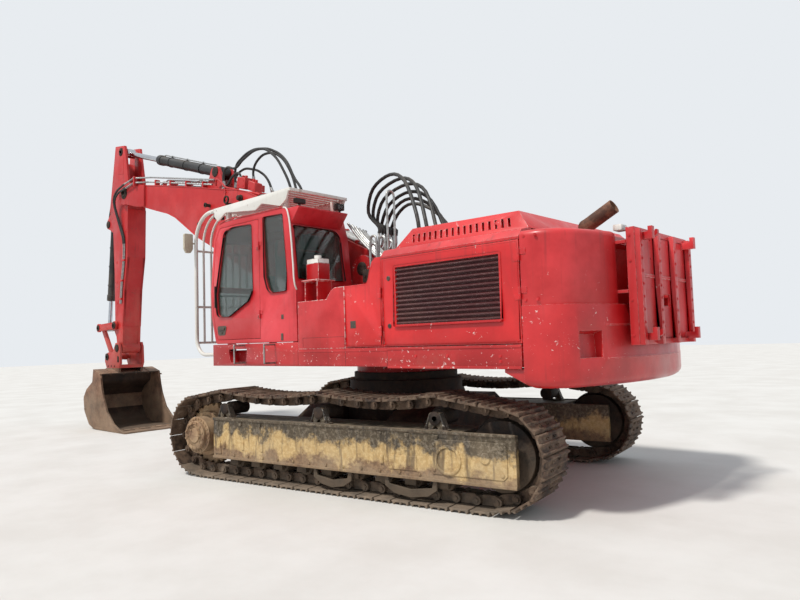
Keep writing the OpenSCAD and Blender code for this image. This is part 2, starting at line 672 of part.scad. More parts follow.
// Notches in the rear edge leave room for the fixed straps of the hinge
module service_door() color(red) {
  difference() {
    slab(side_y0, upper_half) polygon([[service_x0, deck_z1 + side_gap], [service_x1, deck_z1 + side_gap],
      [service_x1, service_z1], [service_x0 + 240, service_z1], [service_x0 + 210, service_z1 + 50],
      [service_x0 + 180, service_z1 + 150], [service_x0 + 140, crease_z - 10], [service_x0 + 90,
        crease_z + 30],
      [service_x0 + 4, crease_z + 30], [service_x0 + 4, crease_z],
      [service_x0, crease_z]]);
    for (z = counter_leaf(service_hinge_z))
      block([service_x0 - past, side_y0 - past, z[0] - 6], [service_hinge_x + 11, upper_half + past,
        z[1] + 6]);
  }
  strap(service_hinge_x, service_x0 + 60, upper_half, leaf(service_hinge_z));
  knuckles(service_hinge_x, knuckle_y, leaf(service_hinge_z));
}

hood_z0 = shoulder_top + 6;
hood_hinge = [cowl_front - 6, hood_z0 + 13];
hood_back = cowl_front + side_gap;
// Hood with a slanted front, back and sides, made smaller by an inset
module hood_shape(inset) intersection() {
  slab(-hood_half - past, hood_half + past) polygon([[bay_front - 50 - 1.4 * inset, hood_z0],
    [bay_front - 200 - 0.6 * inset, hood_z - inset], [hood_back + 172 + 0.6 * inset, hood_z - 15 - inset],
    [hood_back + 1.4 * inset, hood_z0]]);
  rail(cowl_front, bay_front) polygon([[-hood_half + inset, hood_z0], [-hood_half + 130 + inset,
    hood_z + 5],
    [hood_half - 130 - inset, hood_z + 5], [hood_half - inset, hood_z0]]);
}
slot_n = 17;
slot_run = bay_front - 310 - (cowl_front + 220);
module hood_lid() color(red) {
  difference() {
    hood_shape(0);
    translate([0, 0, -sheet_t / 2]) hood_shape(sheet_t / 2);
    both_sides() for (i = [0:slot_n - 1]) let(x = cowl_front + 220 + i * slot_run / (slot_n - 1))
      slab(hood_half - 220, hood_half + past)
        polygon([[x, hood_z0 + 40], [x + 30, hood_z0 + 40], [x + 70, hood_z0 + 140],
          [x + 40, hood_z0 + 140]]);
  }
  both_sides() {
    cross_bar(hood_hinge[0], hood_hinge[1], knuckle_r, 600, 680);
    block([hood_hinge[0], 600, hood_hinge[1] - 6], [hood_back + 25, 680, hood_hinge[1]]);
  }
}
module hood_hinge_fixed() both_sides() {
  cross_bar(hood_hinge[0], hood_hinge[1], knuckle_r, 682, 762);
  block([hood_hinge[0] - knuckle_r, 682, cowl_z1 - 60], [hood_hinge[0] - 2, 762, hood_hinge[1]]);
}

// Side view of the cab: its rear wall leans forward towards the roof
cab_outline = rounded([[cab_rear, cab_z0], [cab_front, cab_z0], [cab_front + 110, 2120], [cab_front + 120,
  2500],
  [cab_front + 20, 3240], [cab_front - 110, cab_z1], [cab_rear + 180, cab_z1], [cab_rear + 80, 3140],
  [cab_rear + 10, 2440]], [0, 60, 0, 0, 120, 90, 110, 0, 0]);
function inset_outline(t) = [[cab_rear + t, cab_z0 + t], [cab_front - t, cab_z0 + t], [cab_front + 110 - t,
  2120],
  [cab_front + 120 - t, 2500], [cab_front + 20 - t, 3225], [cab_front - 130 - t, cab_z1 - t],
  [cab_rear + 190 + t, cab_z1 - t], [cab_rear + 80 + t, 3140], [cab_rear + 10 + t, 2440]];
function door_outline(m) = rounded([[1240 - m, cab_z0 + 60 - m], [cab_front - 45 + m, cab_z0 + 60 - m],
  [cab_front + 50 + m, 2120], [cab_front + 60 + m, 2500], [cab_front - 25 + m, 3200 + m / 2],
  [cab_front - 140 + m, 3385 + m], [1240 - m, 3385 + m]], [0, 60, 0, 0, 100, 60, 40]);
door_window = rounded([[2080, 3330], [1850, 3365], [1400, 3345], [1390, 2420], [1480, 2300], [1940, 2110],
  [2250, 2110], [2280, 2440]], [120, 60, 50, 60, 60, 60, 90, 0]);
quarter_window = rounded([[1150, 3400], [720, 3385], [650, 2600], [660, 2380], [1040, 2370], [1120, 2600]],
  [30, 30, 0, 20, 130, 0]);
rear_window = rounded([[cab_y0 + 130, 2520], [cab_y1 - 50, 2520], [cab_y1 - 50, 3220], [cab_y0 + 130,
  3220]],
  [20, 20, 20, 160]);
side_window = rounded([[760, 2300], [2150, 2300], [2150, 3300], [760, 3300]], 60);
front_y = [cab_y0 + 90, cab_y1 - 90];

module cab_windows(cut) {
  slab(cab_y1 - cab_t / 2 - cut / 2, cab_y1 - cab_t / 2 + cut / 2) polygon(quarter_window);
  slab(cab_y0 + cab_t / 2 - cut / 2, cab_y0 + cab_t / 2 + cut / 2) polygon(side_window);
}
// The rear pane lies in the leaning wall, between two depths behind its outer face
module rear_pane(near, far) intersection() {
  slab(cab_y0, cab_y1) polygon([[cab_rear + 10 + near, 2440], [cab_rear + 80 + near, 3140],
    [cab_rear + 90 + near, 3240],
    [cab_rear + 90 + far, 3240], [cab_rear + 80 + far, 3140], [cab_rear + 10 + far, 2440]]);
  rail(cab_rear - 100, cab_rear + 300) polygon(rear_window);
}
// Front panes follow the front profile, at a depth behind it
module front_panes(depth, t) slab(front_y[0], front_y[1]) {
  x = cab_front + 120 - depth;
  polygon([[x - 5, 2560], [x - 91, 3200], [x - 91 - t, 3200], [x - 5 - t, 2560]]);
  polygon([[x - 80, 1900], [x - 13, 2120], [x - 1, 2480], [x - 1 - t, 2480], [x - 13 - t, 2120],
    [x - 80 - t, 1900]]);
}

module cab_shell() color(red) {
  difference() {
    slab(cab_y0, cab_y1) polygon(cab_outline);
    slab(cab_y0 + cab_t, cab_y1 - cab_t) polygon(inset_outline(cab_t));
    slab(cab_y1 - cab_t - past, cab_y1 + past) polygon(door_outline(door_gap));
    cab_windows(cab_t + 20);
    rear_pane(-40, cab_t + 40);
    front_panes(-30, 120);
  }
  slab(cab_y0 + 120, cab_y1 - 20) polygon([[cab_rear + 130, 3255], [cab_rear + 190, 3440], [cab_rear - 60,
    3440],
    [cab_rear - 60, 3425], [cab_rear + 100, 3240]]);
  strap(cab_hinge_x - 60, cab_hinge_x, upper_half, counter_leaf(cab_hinge_z));
  knuckles(cab_hinge_x, knuckle_y, counter_leaf(cab_hinge_z));
}

module cab_glass() color(glass) {
  cab_windows(glass_t);
  rear_pane(cab_t / 2, cab_t / 2 + glass_t);
  front_panes(20, glass_t);
}

module cab_mounts() color(black) for (x = [cab_rear + 150, cab_front - 200])
  for (y = [cab_y0 + 130, cab_y1 - 130])
  translate([x, y, deck_z1]) cylinder(h = cab_z0 - deck_z1, r = 60);

cab_mid = (cab_y0 + cab_y1) / 2;
floor_z = cab_z0 + cab_t;
module cab_seat() color(black) {
  block([900, cab_mid - 250, floor_z], [1300, cab_mid + 250, floor_z + 380]);
  block([820, cab_mid - 260, floor_z + 379], [1400, cab_mid + 260, floor_z + 500]);
  slab(cab_mid - 240, cab_mid + 240) polygon(rounded([[820, floor_z + 480], [960, floor_z + 480],
    [880, floor_z + 1150],
    [760, floor_z + 1150]], [0, 0, 50, 50]));
}

module cab_console() color(black) {
  for (s = [-1, 1]) {
    block([960, cab_mid + s * 330 - 50, floor_z], [1500, cab_mid + s * 330 + 50, floor_z + 560]);
    bar([1420, cab_mid + s * 330, floor_z + 559], [1440, cab_mid + s * 330, floor_z + 760], 22);
  }
  block([2050, cab_y0 + cab_t, floor_z], [2250, cab_y0 + cab_t + 130, floor_z + 800]);
}

// Roof guard: a slotted plate on four feet, with side plates that hang down in two lobes
roof_x0 = 560;
roof_x1 = 2320;
roof_z0 = cab_z1 + 30;
roof_z1 = cab_z1 + 230;
roof_t = 40;
roof_slots = 16;
foot_w = 60;
module roof_guard() color(white) {
  difference() {
    block([roof_x0, cab_y0 - 20, roof_z1 - roof_t], [roof_x1, cab_y1, roof_z1]);
    for (i = [0:roof_slots - 1]) let(x = roof_x0 + 70 + i * (roof_x1 - roof_x0 - 190) / (roof_slots - 1))
      block([x, cab_y0 + 60, roof_z1 - roof_t - past], [x + 50, cab_y1 - 80, roof_z1 + past]);
  }
  for (y = [cab_y0 - 20, cab_y1 - 25]) slab(y, y + 25) polygon(rounded([[roof_x0 + 40, roof_z1 - 39],
    [roof_x1, roof_z1 - 39], [roof_x1, roof_z0 + 85], [roof_x1 - 90, roof_z0], [roof_x1 - 290,
      roof_z0 + 100],
    [roof_x1 - 1010, roof_z0 + 20], [roof_x1 - 1150, roof_z0 + 90], [roof_x1 - 1550, roof_z0 - 10],
    [roof_x0 + 80, roof_z0 + 60]], [0, 0, 15, 30, 80, 60, 60, 40, 20]));
  for (x = [roof_x0 + 160, roof_x1 - 300]) for (y = [cab_y0 + 40, cab_y1 - 100])
    block([x, y, cab_z1], [x + foot_w, y + foot_w, roof_z1 - roof_t + past]);
}

// Front guard: upright tubes bent back over the roof, the two outer ones also at the foot
guard_bend_r = 430;
foot_bend_r = 250;
guard_front_x = 2900;
guard_tube_r = 17;
guard_top_z = roof_z1 - 20;
guard_low_z = cab_z0 + 30;
guard_foot_z = deck_z1 - 50;
module guard_tube(y, r, low) {
  bar([roof_x1, y, guard_top_z], [guard_front_x - guard_bend_r, y, guard_top_z], r);
  translate([guard_front_x - guard_bend_r, y, guard_top_z - guard_bend_r]) rotate([90, 0, 0])
    rotate_extrude(angle = 90) translate([guard_bend_r, 0]) circle(r);
  bar([guard_front_x, y, low], [guard_front_x, y, guard_top_z - guard_bend_r], r);
}
module guard_foot(y, r) {
  translate([guard_front_x - foot_bend_r, y, guard_foot_z + foot_bend_r]) rotate([90, 0, 0])
    rotate([0, 0, -90])
    rotate_extrude(angle = 90) translate([foot_bend_r, 0]) circle(r);
  bar([deck_front + seat_gap, y, guard_foot_z], [guard_front_x - foot_bend_r, y, guard_foot_z], r);
}
module front_guard() color(white) {
  for (i = [0:guard_tubes - 1]) let(outer = i == 0 || i == guard_tubes - 1,
    r = i == guard_tubes - 1 ? 1.6 * guard_tube_r
    : guard_tube_r, y = cab_y0 + 40 + i * (cab_y1 - cab_y0 - 80) / (guard_tubes - 1)) {
    guard_tube(y, r, outer ? guard_foot_z + foot_bend_r : guard_low_z);
    if (outer) guard_foot(y, r);
  }
  for (z = [guard_low_z, guard_low_z + 540, guard_low_z + 1390])
    bar([guard_front_x, cab_y0 + 20, z], [guard_front_x, cab_y1 - 20, z], guard_tube_r);
}

module cab_mirror() {
  color(white) rail(guard_front_x - 20, guard_front_x + 20)
    polygon(rounded([[cab_y1 + 20, 3400], [cab_y1 + 20, 3170],
    [cab_y1 + 60, 3110], [cab_y1 + 130, 3110], [cab_y1 + 160, 3170], [cab_y1 + 160, 3400]], 20));
  color(black) bar([guard_front_x, cab_y1 - 12, 3260], [guard_front_x, cab_y1 + 21, 3260], 12);
}

step_r = 12;
step_out = 170;
step_z = [deck_z0 + 45, deck_z1 + 70];
module cab_step(x) {
  bar([x, cab_y1 + step_out, step_z[0]], [x, cab_y1 + step_out, step_z[1]], step_r);
  for (z = step_z) {
    bar([x, cab_y1, z], [x, cab_y1 + step_out, z], step_r);
    translate([x, cab_y1 + step_out, z]) sphere(1.1 * step_r);
  }
}
loop_x = bay_front + 20;
loop_y = [upper_half - 270, upper_half - 150];
loop_r = (loop_y[1] - loop_y[0]) / 2;
loop_tube_r = 13;
loop_z1 = shoulder_top + 620;
module rail_loop(x0, x1, y, z0, z1, r) {
  bar([x0, y, z0], [x0, y, z1], r);
  bar([x1, y, z0], [x1, y, z1], r);
  bar([x0, y, z1], [x1, y, z1], r);
  for (x = [x0, x1]) translate([x, y, z1]) sphere(r * 1.15);
}
module handrails() color(silver) {
  for (x = [930, 1600]) cab_step(x);
  for (y = loop_y) bar([loop_x, y, shoulder_top - 25], [loop_x, y, loop_z1], loop_tube_r);
  translate([loop_x, loop_y[0] + loop_r, loop_z1]) rotate([90, 0, 90]) rotate_extrude(angle = 180)
    translate([loop_r, 0]) circle(loop_tube_r);
  rail_loop(1700, 2150, -upper_half + 40, deck_z1 + 350, deck_z1 + 1120, 18);
}

module cab_door() color(red) {
  difference() {
    slab(cab_y1 - cab_t, cab_y1) polygon(door_outline(0));
    slab(cab_y1 - cab_t - past, cab_y1 + past) polygon(door_window);
  }
  strap(cab_hinge_x, cab_hinge_x + 64, upper_half, leaf(cab_hinge_z));
  knuckles(cab_hinge_x, knuckle_y, leaf(cab_hinge_z));
}
module door_glass() color(glass) slab(cab_y1 - cab_t / 2 - glass_t / 2, cab_y1 - cab_t / 2 + glass_t / 2)
  polygon(door_window);

nose = [nose_x, nose_z];
nose_r = 250;
nose_boss_r = 165;
boom_eye = [3150, 3720];
stick_cyl_base = [4400, 4900];
coupling_x = 3950;
boom_rear_outline = rounded([[foot_x - 150, foot_z + 130], [foot_x, foot_z + 240], [3300, 4330],
  [3650, 4430],
  [coupling_x, 4480], [coupling_x, 3290], [3400, 2990], [2900, 2810], [1420, foot_z + 15], [foot_x, foot_z - 200],
    [foot_x - 170, foot_z - 100]],
  [60, 0, 0, 0, 0, 0, 0, 0, 0, 60, 60]);
boom_end_x = nose_x - 440;
boom_front_outline = [[coupling_x, 4480], [4780, 4665], [6300, 4985], [6900, nose_z + 20],
  [boom_end_x, nose_z + 130],
  [boom_end_x, nose_z - 320], [7100, nose_z - 400], [6500, 4500], [5980, 4350], [5700, 4230], [5370, 4030],
    [4900, 3740],
  [coupling_x, 3290]];
nose_cheek = [[6900, nose_z - 430], [6900, nose_z + 18], [7450, nose_z + 160],
  [nose_x - 70, nose_z + nose_r - 10],
  [nose_x - 40, nose_z - nose_r + 4], [7250, nose_z - 380]];

module boom_base() color(red) {
  slab(-boom_half, boom_half) polygon(boom_rear_outline);
  cross_bar(foot_x, foot_z, 165, -foot_tube_half, foot_tube_half);
  cross_bar(foot_x, foot_z, pin_r, -cheek_y1 + 30, cheek_y1 - 30);
}

module boom_front() color(red) {
  slab(-boom_half, boom_half) polygon(boom_front_outline);
  both_sides() slab(stick_half + 15, boom_half + 40) {
    translate(nose) circle(nose_r);
    polygon(nose_cheek);
  }
  cross_bar(nose_x, nose_z, pin_r, -boom_half - 60, boom_half + 60);
  both_sides() slab(110, 160) polygon(rounded([[4080, 4490], [4700, 4630], [4530, 4990], [4300, 4990]],
    [0, 0, 90, 90]));
  cross_bar(stick_cyl_base[0], stick_cyl_base[1], pin_r, -175, 175);
}

// Pipes on the boom's top plate, bent up at the foot where the arch hoses join them
pipe_r = 19;
pipe_pitch = 70;
pipe_n = 6;
pipe_bend_r = 110;
pipe_run = [120, 3200];
pipe_rise = 100;
bend_steps = 4;
elbow_share = 1.08;
pipe_lift = elbow_share * pipe_r + seat_gap;
boom_top_a = [foot_x, foot_z + 240];
boom_top_b = [3300, 4330];
boom_top_dir = toward(boom_top_a, boom_top_b);
boom_tilt = atan2(boom_top_dir[1], boom_top_dir[0]);
// A point on the line of the boom's top plate, and one a height above it
function over_boom(d, h) = boom_top_a + d * boom_top_dir + h * [-boom_top_dir[1], boom_top_dir[0]];
function pipe_y(i) = (i - (pipe_n - 1) / 2) * pipe_pitch;
bend_c = over_boom(pipe_run[0], pipe_lift + pipe_bend_r);
pipe_top = bend_c + [-pipe_bend_r, pipe_rise];
top_pipe = concat([over_boom(pipe_run[1], pipe_lift)], [for (i = [0:bend_steps])
  polar(bend_c, pipe_bend_r, boom_tilt - 90 - i * (90 + boom_tilt) / bend_steps)], [pipe_top]);
// Two pipes on each side of the front boom, by their corner points
front_pipe_r = 16;
front_pipes = [[[4400, 225, 4650], [6800, 225, 5150], [7250, 340, 5200], [7600, 345, 5150]],
  [[4400, 182, 4745], [6750, 182, 5245], [7250, 345, 5295], [7650, 350, 5240]]];
module pipe(p, r) {
  for (i = [1:len(p) - 1]) bar(p[i - 1], p[i], r);
  for (i = [1:len(p) - 2]) translate(p[i]) sphere(elbow_share * r);
}
module boom_pipes() color(silver) {
  for (i = [0:pipe_n - 1]) pipe([for (p = top_pipe) xz(p, pipe_y(i))], pipe_r);
  both_sides() for (p = front_pipes) pipe(p, front_pipe_r);
}

// Barrel with a bore open at the gland; base and eye in the X-Z plane
module barrel(base, eye, y, r, rod_r, length, eye_r, eye_w) {
  d = toward(base, eye);
  difference() {
    union() {
      bar(xz(base + d * eye_r * 0.6, y), xz(base + d * length, y), r);
      bar(xz(base + d * (length - 130), y), xz(base + d * length, y), r + 12);
      cross_bar(base[0], base[1], eye_r, y - eye_w / 2, y + eye_w / 2);
    }
    bar(xz(base + d * (eye_r + 30), y), xz(base + d * (length + 10), y), rod_r + pin_fit);
    cross_bar(base[0], base[1], pin_r + pin_fit, y - eye_w, y + eye_w);
  }
}
module rod(base, eye, y, r, length, eye_r, eye_w) {
  d = toward(base, eye);
  bar(xz(eye - d * length, y), xz(eye - d * eye_r * 0.6, y), r);
  cross_bar(eye[0], eye[1], eye_r, y - eye_w / 2, y + eye_w / 2);
}

boom_barrel_len = 1850;
boom_rod_len = 1880;
module boom_barrels() color(black) both_sides()
  barrel(boom_cyl_base, boom_eye, boom_cyl_y, boom_barrel_r, boom_rod_r, boom_barrel_len, 112, 190);
module boom_rods() color(chrome) both_sides()
  rod(boom_cyl_base, boom_eye, boom_cyl_y, boom_rod_r, boom_rod_len, 112, 190);

stick_eye = [8120, 6080];
stick_barrel_len = 2440;
stick_rod_len = 2450;
module stick_barrel() color(black)
  barrel(stick_cyl_base, stick_eye, 0, stick_barrel_r, stick_rod_r, stick_barrel_len, 115, 200);
module stick_rod() color(chrome) rod(stick_cyl_base, stick_eye, 0, stick_rod_r, stick_rod_len, 105, 180);

rocker_pin = [8370, 2230];
rod_pin = [9180, 2200];
link_pin = [8690, 1540];
bucket_cyl_base = [8880, 4560];
stick_side = [[7960, 6190], [8400, 6260], [8600, 5300], [8700, 4850], [8540, 4380], [8470, 3400],
  [8450, 2300], [8330, 1640],
  [8110, 1640], [8070, 2200], [7990, 3000], [7840, 3700], [7800, 5000], [7780, 5350]];
stick_core = [[8330, 5900], [8400, 5700], [8600, 4850], [8520, 4380], [8450, 3400], [8430, 2300],
  [8310, 1700],
  [8130, 1700], [8085, 2200], [8005, 3000], [7855, 3700], [7815, 5000], [7990, 5200]];
stick_plate_t = 50;
module stick() color(red) {
  difference() {
    union() {
      slab(-stick_half + stick_plate_t - 1, stick_half - stick_plate_t + 1) polygon(stick_core);
      both_sides() slab(stick_half - stick_plate_t, stick_half) polygon(stick_side);
      cross_bar(tip_x, tip_z, 120, -stick_half, stick_half);
      cross_bar(nose_x, nose_z, nose_boss_r, -stick_half, stick_half);
    }
    cross_bar(nose_x, nose_z, pin_r + pin_fit, -stick_half - 1, stick_half + 1);
    cross_bar(tip_x, tip_z, pin_r + pin_fit, -stick_half - 1, stick_half + 1);
    cross_bar(rocker_pin[0], rocker_pin[1], pin_r + pin_fit, -stick_half - 1, stick_half + 1);
  }
  cross_bar(stick_eye[0], stick_eye[1], 60, 105, stick_half);
  cross_bar(stick_eye[0], stick_eye[1], 60, -stick_half, -105);
  both_sides() slab(115, 150) polygon([[8480, 4250], [8600, 5000], [8700, 4860], [8960, 4640],
    [8960, 4480], [8800, 4420]]);
  cross_bar(bucket_cyl_base[0], bucket_cyl_base[1], pin_r, -170, 170);
}

bucket_barrel_len = 1740;
bucket_rod_len = 1740;
module bucket_barrel() color(black)
  barrel(bucket_cyl_base, rod_pin, 0, bucket_barrel_r, bucket_rod_r, bucket_barrel_len, 95, 200);
module bucket_rod() color(chrome) rod(bucket_cyl_base, rod_pin, 0, bucket_rod_r, bucket_rod_len, 85, 150);

module strut(a, b, r, y0, y1) slab(y0, y1) {
  d = toward(a, b);
  n = [-d[1], d[0]];
  translate(a) circle(r);
  translate(b) circle(r);
  polygon([a + n * r * 0.8, b + n * r * 0.8, b - n * r * 0.8, a - n * r * 0.8]);
}

rocker_y0 = 215;
rocker_y1 = 265;
module rockers() color(red) {
  both_sides() strut(rocker_pin, rod_pin, 95, rocker_y0, rocker_y1);
  cross_bar(rocker_pin[0], rocker_pin[1], pin_r, -rocker_y1 - 10, rocker_y1 + 10);
  for (s = [[-rocker_y1, -90], [90, rocker_y1]]) cross_bar(rod_pin[0], rod_pin[1], 45, s[0], s[1]);
}
module bucket_link() color(red) {
  both_sides() difference() {
    strut(rod_pin, link_pin, 80, 120, 170);
    cross_bar(rod_pin[0], rod_pin[1], 46, 119, 171);
  }
  cross_bar(link_pin[0], link_pin[1], 75, -170, 170);
}

ear_y0 = 225;
ear_y1 = 275;
coupler_side = [[8080, 1730], [8130, 1850], [8280, 1840], [8420, 1640], [8640, 1640], [8790, 1600],
  [8810, 1440], [8720, 1290],
  [8120, 1290], [8060, 1400]];
module quick_coupler() color(red) {
  both_sides() slab(ear_y0, ear_y1) polygon(coupler_side);
  block([8110, -ear_y1, 1290], [8560, ear_y1, 1360]);
  cross_bar(tip_x, tip_z, pin_r, -ear_y1 - 15, ear_y1 + 15);
  for (s = [[-ear_y1 - 10, -180], [180, ear_y1 + 10]]) cross_bar(link_pin[0], link_pin[1], pin_r, s[0],
    s[1]);
}

bucket_half = bucket_w / 2;
// Outline moved to its right-hand side, as seen on the way along it
function moved(p, t) = [for (i = [0:len(p) - 1])
  let(a = toward(p[max(i - 1, 0)], p[max(i, 1)]), b = toward(p[min(i, len(p) - 2)],
    p[min(i + 1, len(p) - 1)]))
  p[i] + [a[1] + b[1], -a[0] - b[0]] * t / (1 + a * b)];
bucket_mouth = [[7100, 20], [7500, 165], [7815, 410], [7990, 700], [8060, 900]];
bucket_side = rounded(concat([[8130, 1190], [8480, 1285], [8530, 1010], [8830, 850], [8990, 660],
  [8940, 370], [8700, 90],
  [8450, 12], [7000, 0]], bucket_mouth), [0, 0, 60, 90, 120, 160, 160, 120, 0, 0, 0, 0, 0, 0]);
bucket_back = [for (i = [0:len(bucket_side) - len(bucket_mouth) - 1]) bucket_side[i]];
bucket_lining = moved(bucket_back, bucket_shell_t);
lip_t = 45;
module bucket() color(rust) {
  slab(-bucket_half, bucket_half) polygon(concat(bucket_back,
    [for (i = [len(bucket_lining) - 1:-1:0]) bucket_lining[i]]));
  slab(-bucket_half, bucket_half) polygon([[7000, 0], [7000, 0.4 * lip_t], [7110, lip_t], [7380, lip_t],
    [7380, 1]]);
  both_sides() slab(bucket_half - bucket_side_t, bucket_half) polygon(bucket_side);
  both_sides() slab(ear_y0, ear_y1) polygon([[8145, 1185], [8125, 1290], [8770, 1290], [8800, 1130],
    [8835, 840], [8700, 900],
    [8530, 1000], [8470, 1270]]);
}

// Smooth route through hand-set points
function bez(p, k, t) = let(
  a = p[max(k - 1, 0)], b = p[k], c = p[k + 1], d = p[min(k + 2, len(p) - 1)])
  0.5 * (2 * b + t * (c - a) + t * t * (2 * a - 5 * b + 4 * c - d) + t * t * t * (3 * b - a - 3 * c + d));
function route(p, n) = concat([for (k = [0:len(p) - 2]) for (i = [0:n - 1]) bez(p, k, i / n)],
  [p[len(p) - 1]]);
module hose(points, r, n = 4, sides = 8) {
  c = route(points, n);
  m = len(c);
  tangent = [for (i = [0:m - 1]) let(v = c[min(i + 1, m - 1)] - c[max(i - 1, 0)]) v / norm(v)];
  side = [for (t = tangent) let(v = cross(t, abs(t[1]) > 0.9 ? [1, 0, 0] : [0, 1, 0])) v / norm(v)];
  rim = [for (i = [0:m - 1]) for (j = [0:sides - 1]) let(a = j * 360 / sides)
    c[i] + r * (cos(a) * side[i] + sin(a) * cross(tangent[i], side[i]))];
  polyhedron(points = rim, faces = concat(
    [[for (j = [0:sides - 1]) j]],
    [for (i = [0:m - 2]) for (j = [0:sides - 1]) let(k = (j + 1) % sides)
      [i * sides + j, (i + 1) * sides + j, (i + 1) * sides + k, i * sides + k]],
    [[for (j = [sides - 1:-1:0]) (m - 1) * sides + j]]));
}

// Arch hoses: pipe they start from, side of their top, X and Z of their top, side of their end
arch_hose_r = 24;
arch_table = [[5, 400, -190, 3900, 780], [4, 260, -240, 3860, 620], [3, 140, -270, 3800, 420],
  [2, 40, -220, 3720, 200],
  [1, -40, -150, 3650, 0], [0, -140, -100, 3600, -160]];
arch_end_x = bay_front + sheet_t / 2;
arch_end_z = shoulder_top - 25 + seat_gap;
module arch_hoses() color(black) for (h = arch_table) {
  y = pipe_y(h[0]);
  hose([xz(pipe_top, y), xz(pipe_top + [0, 90], y), [pipe_top[0] + 130, 0.7 * y + 0.3 * h[1], h[3] - 400],
    [pipe_top[0] - 60, 0.3 * y + 0.7 * h[1], h[3] - 110], [h[2], h[1], h[3]],
      [h[2] - 420, 0.5 * (h[1] + h[4]), h[3] - 200],
    [arch_end_x + 40, h[4], h[3] - 700], [arch_end_x, h[4], arch_end_z + 180], [arch_end_x, h[4], arch_end_z + 90],
      [arch_end_x, h[4],
      arch_end_z]], arch_hose_r);
}

// Hoses from the pipes of the front boom past its nose to the stick
stick_hose_r = 21;
module stick_hoses() color(black) both_sides() for (i = [0, 1]) {
  p = front_pipes[i][3];
  y = stick_half + stick_hose_r + 4;
  hose([p + [4, 0, -1], p + [90, 0, -13], p + [400, 0, -60 - 40 * i], [8190 + 50 * i, 320, 4900 + 40 * i],
    [8090 + 50 * i, y + 20, 4450],
    [7960 + 60 * i, y, 4150], [7930 + 60 * i, y, 4000]], stick_hose_r);
}

car_body();
slew_ring();
track_frame_left();
track_frame_right();
track_left();
track_right();
final_drives();
idlers();
bottom_rollers();
carrier_rollers();
upper_frame();
counterweight();
rear_cowl();
rear_guard();
side_body_left();
bulkhead();
fuel_tank();
oil_tank();
front_locker();
engine();
exhaust();
engine_door_left();
engine_door_right();
service_door();
hood_lid();
cab_shell();
cab_mounts();
cab_glass();
cab_seat();
cab_console();
roof_guard();
front_guard();
cab_mirror();
handrails();
canister();
cab_door();
door_glass();
boom_base();
boom_front();
boom_pipes();
boom_barrels();
boom_rods();
stick_barrel();
stick_rod();
stick();
bucket_barrel();
bucket_rod();
rockers();
bucket_link();
quick_coupler();
bucket();
arch_hoses();
stick_hoses();
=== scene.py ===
"""Crawler excavator: finishes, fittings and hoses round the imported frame."""
import json
import logging
import math
import random
from dataclasses import dataclass, field
from enum import Enum

import bpy
import bmesh
from mathutils import Matrix, Vector

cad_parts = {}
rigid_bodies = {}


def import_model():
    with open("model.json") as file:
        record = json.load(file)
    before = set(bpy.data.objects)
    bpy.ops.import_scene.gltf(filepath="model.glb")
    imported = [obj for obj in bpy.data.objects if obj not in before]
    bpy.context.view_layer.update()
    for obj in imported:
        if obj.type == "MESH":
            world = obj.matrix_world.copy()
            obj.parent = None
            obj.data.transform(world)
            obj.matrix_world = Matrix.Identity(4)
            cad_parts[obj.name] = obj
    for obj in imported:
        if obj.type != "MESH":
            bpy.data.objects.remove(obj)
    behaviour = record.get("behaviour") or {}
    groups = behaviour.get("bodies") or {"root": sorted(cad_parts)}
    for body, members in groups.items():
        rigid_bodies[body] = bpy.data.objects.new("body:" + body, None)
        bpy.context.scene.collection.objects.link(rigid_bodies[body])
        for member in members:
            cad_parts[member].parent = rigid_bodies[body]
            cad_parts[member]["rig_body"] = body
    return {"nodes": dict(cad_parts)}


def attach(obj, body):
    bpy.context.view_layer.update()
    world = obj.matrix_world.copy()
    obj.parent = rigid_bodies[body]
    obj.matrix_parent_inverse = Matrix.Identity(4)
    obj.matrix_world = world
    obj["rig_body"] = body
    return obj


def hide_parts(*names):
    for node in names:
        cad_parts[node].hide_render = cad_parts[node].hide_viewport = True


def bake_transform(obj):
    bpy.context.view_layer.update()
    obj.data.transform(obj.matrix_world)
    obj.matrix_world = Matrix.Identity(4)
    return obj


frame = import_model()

log = logging.getLogger("excavator")
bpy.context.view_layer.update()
MM = 0.001

SIDE = 1490.0  # half the width of the upper structure, in millimetres
CORNER_STEPS = 4  # steps round a rounded corner of an outline
EDGE_ANGLE = 32.0  # least angle between faces that is softened, in degrees
SMOOTH_ANGLE = 34.0  # greatest angle between faces that is shaded smooth
HOSE_SMOOTH_ANGLE = 50.0  # the same on the eight-sided hoses
PINS: dict[str, tuple[float, float]] = {  # X and Z of the arm's pins, in millimetres
    "boom_foot": (320.0, 2690.0), "boom_ram_base": (960.0, 1790.0), "boom_ram_eye": (3150.0, 3720.0),
    "boom_nose": (7790.0, 5080.0), "stick_ram_base": (4400.0, 4900.0), "stick_ram_eye": (8120.0, 6080.0),
    "bucket_ram_base": (8880.0, 4560.0), "bucket_ram_eye": (9180.0, 2200.0), "rocker": (8370.0, 2230.0),
    "coupler": (8200.0, 1730.0), "link": (8690.0, 1540.0),
}

Pair = tuple[float, float]
Outline = list[Pair]
Point = tuple[float, float, float]
Colour = tuple[float, float, float]
Socket = bpy.types.NodeSocket


class Axis(Enum):
    """The axis that an outline is extruded along."""

    X = 0
    Y = 1
    Z = 2

    def place(self, u: float, v: float, depth: float) -> Vector:
        """Puts a point of an outline at a depth along this axis.

        Args:
            u: First number of the outline's point.
            v: Its second number.
            depth: Depth along the axis.

        Returns:
            The point.
        """
        if self is Axis.X:
            return Vector((depth, u, v))
        if self is Axis.Y:
            return Vector((u, depth, v))
        return Vector((u, v, depth))


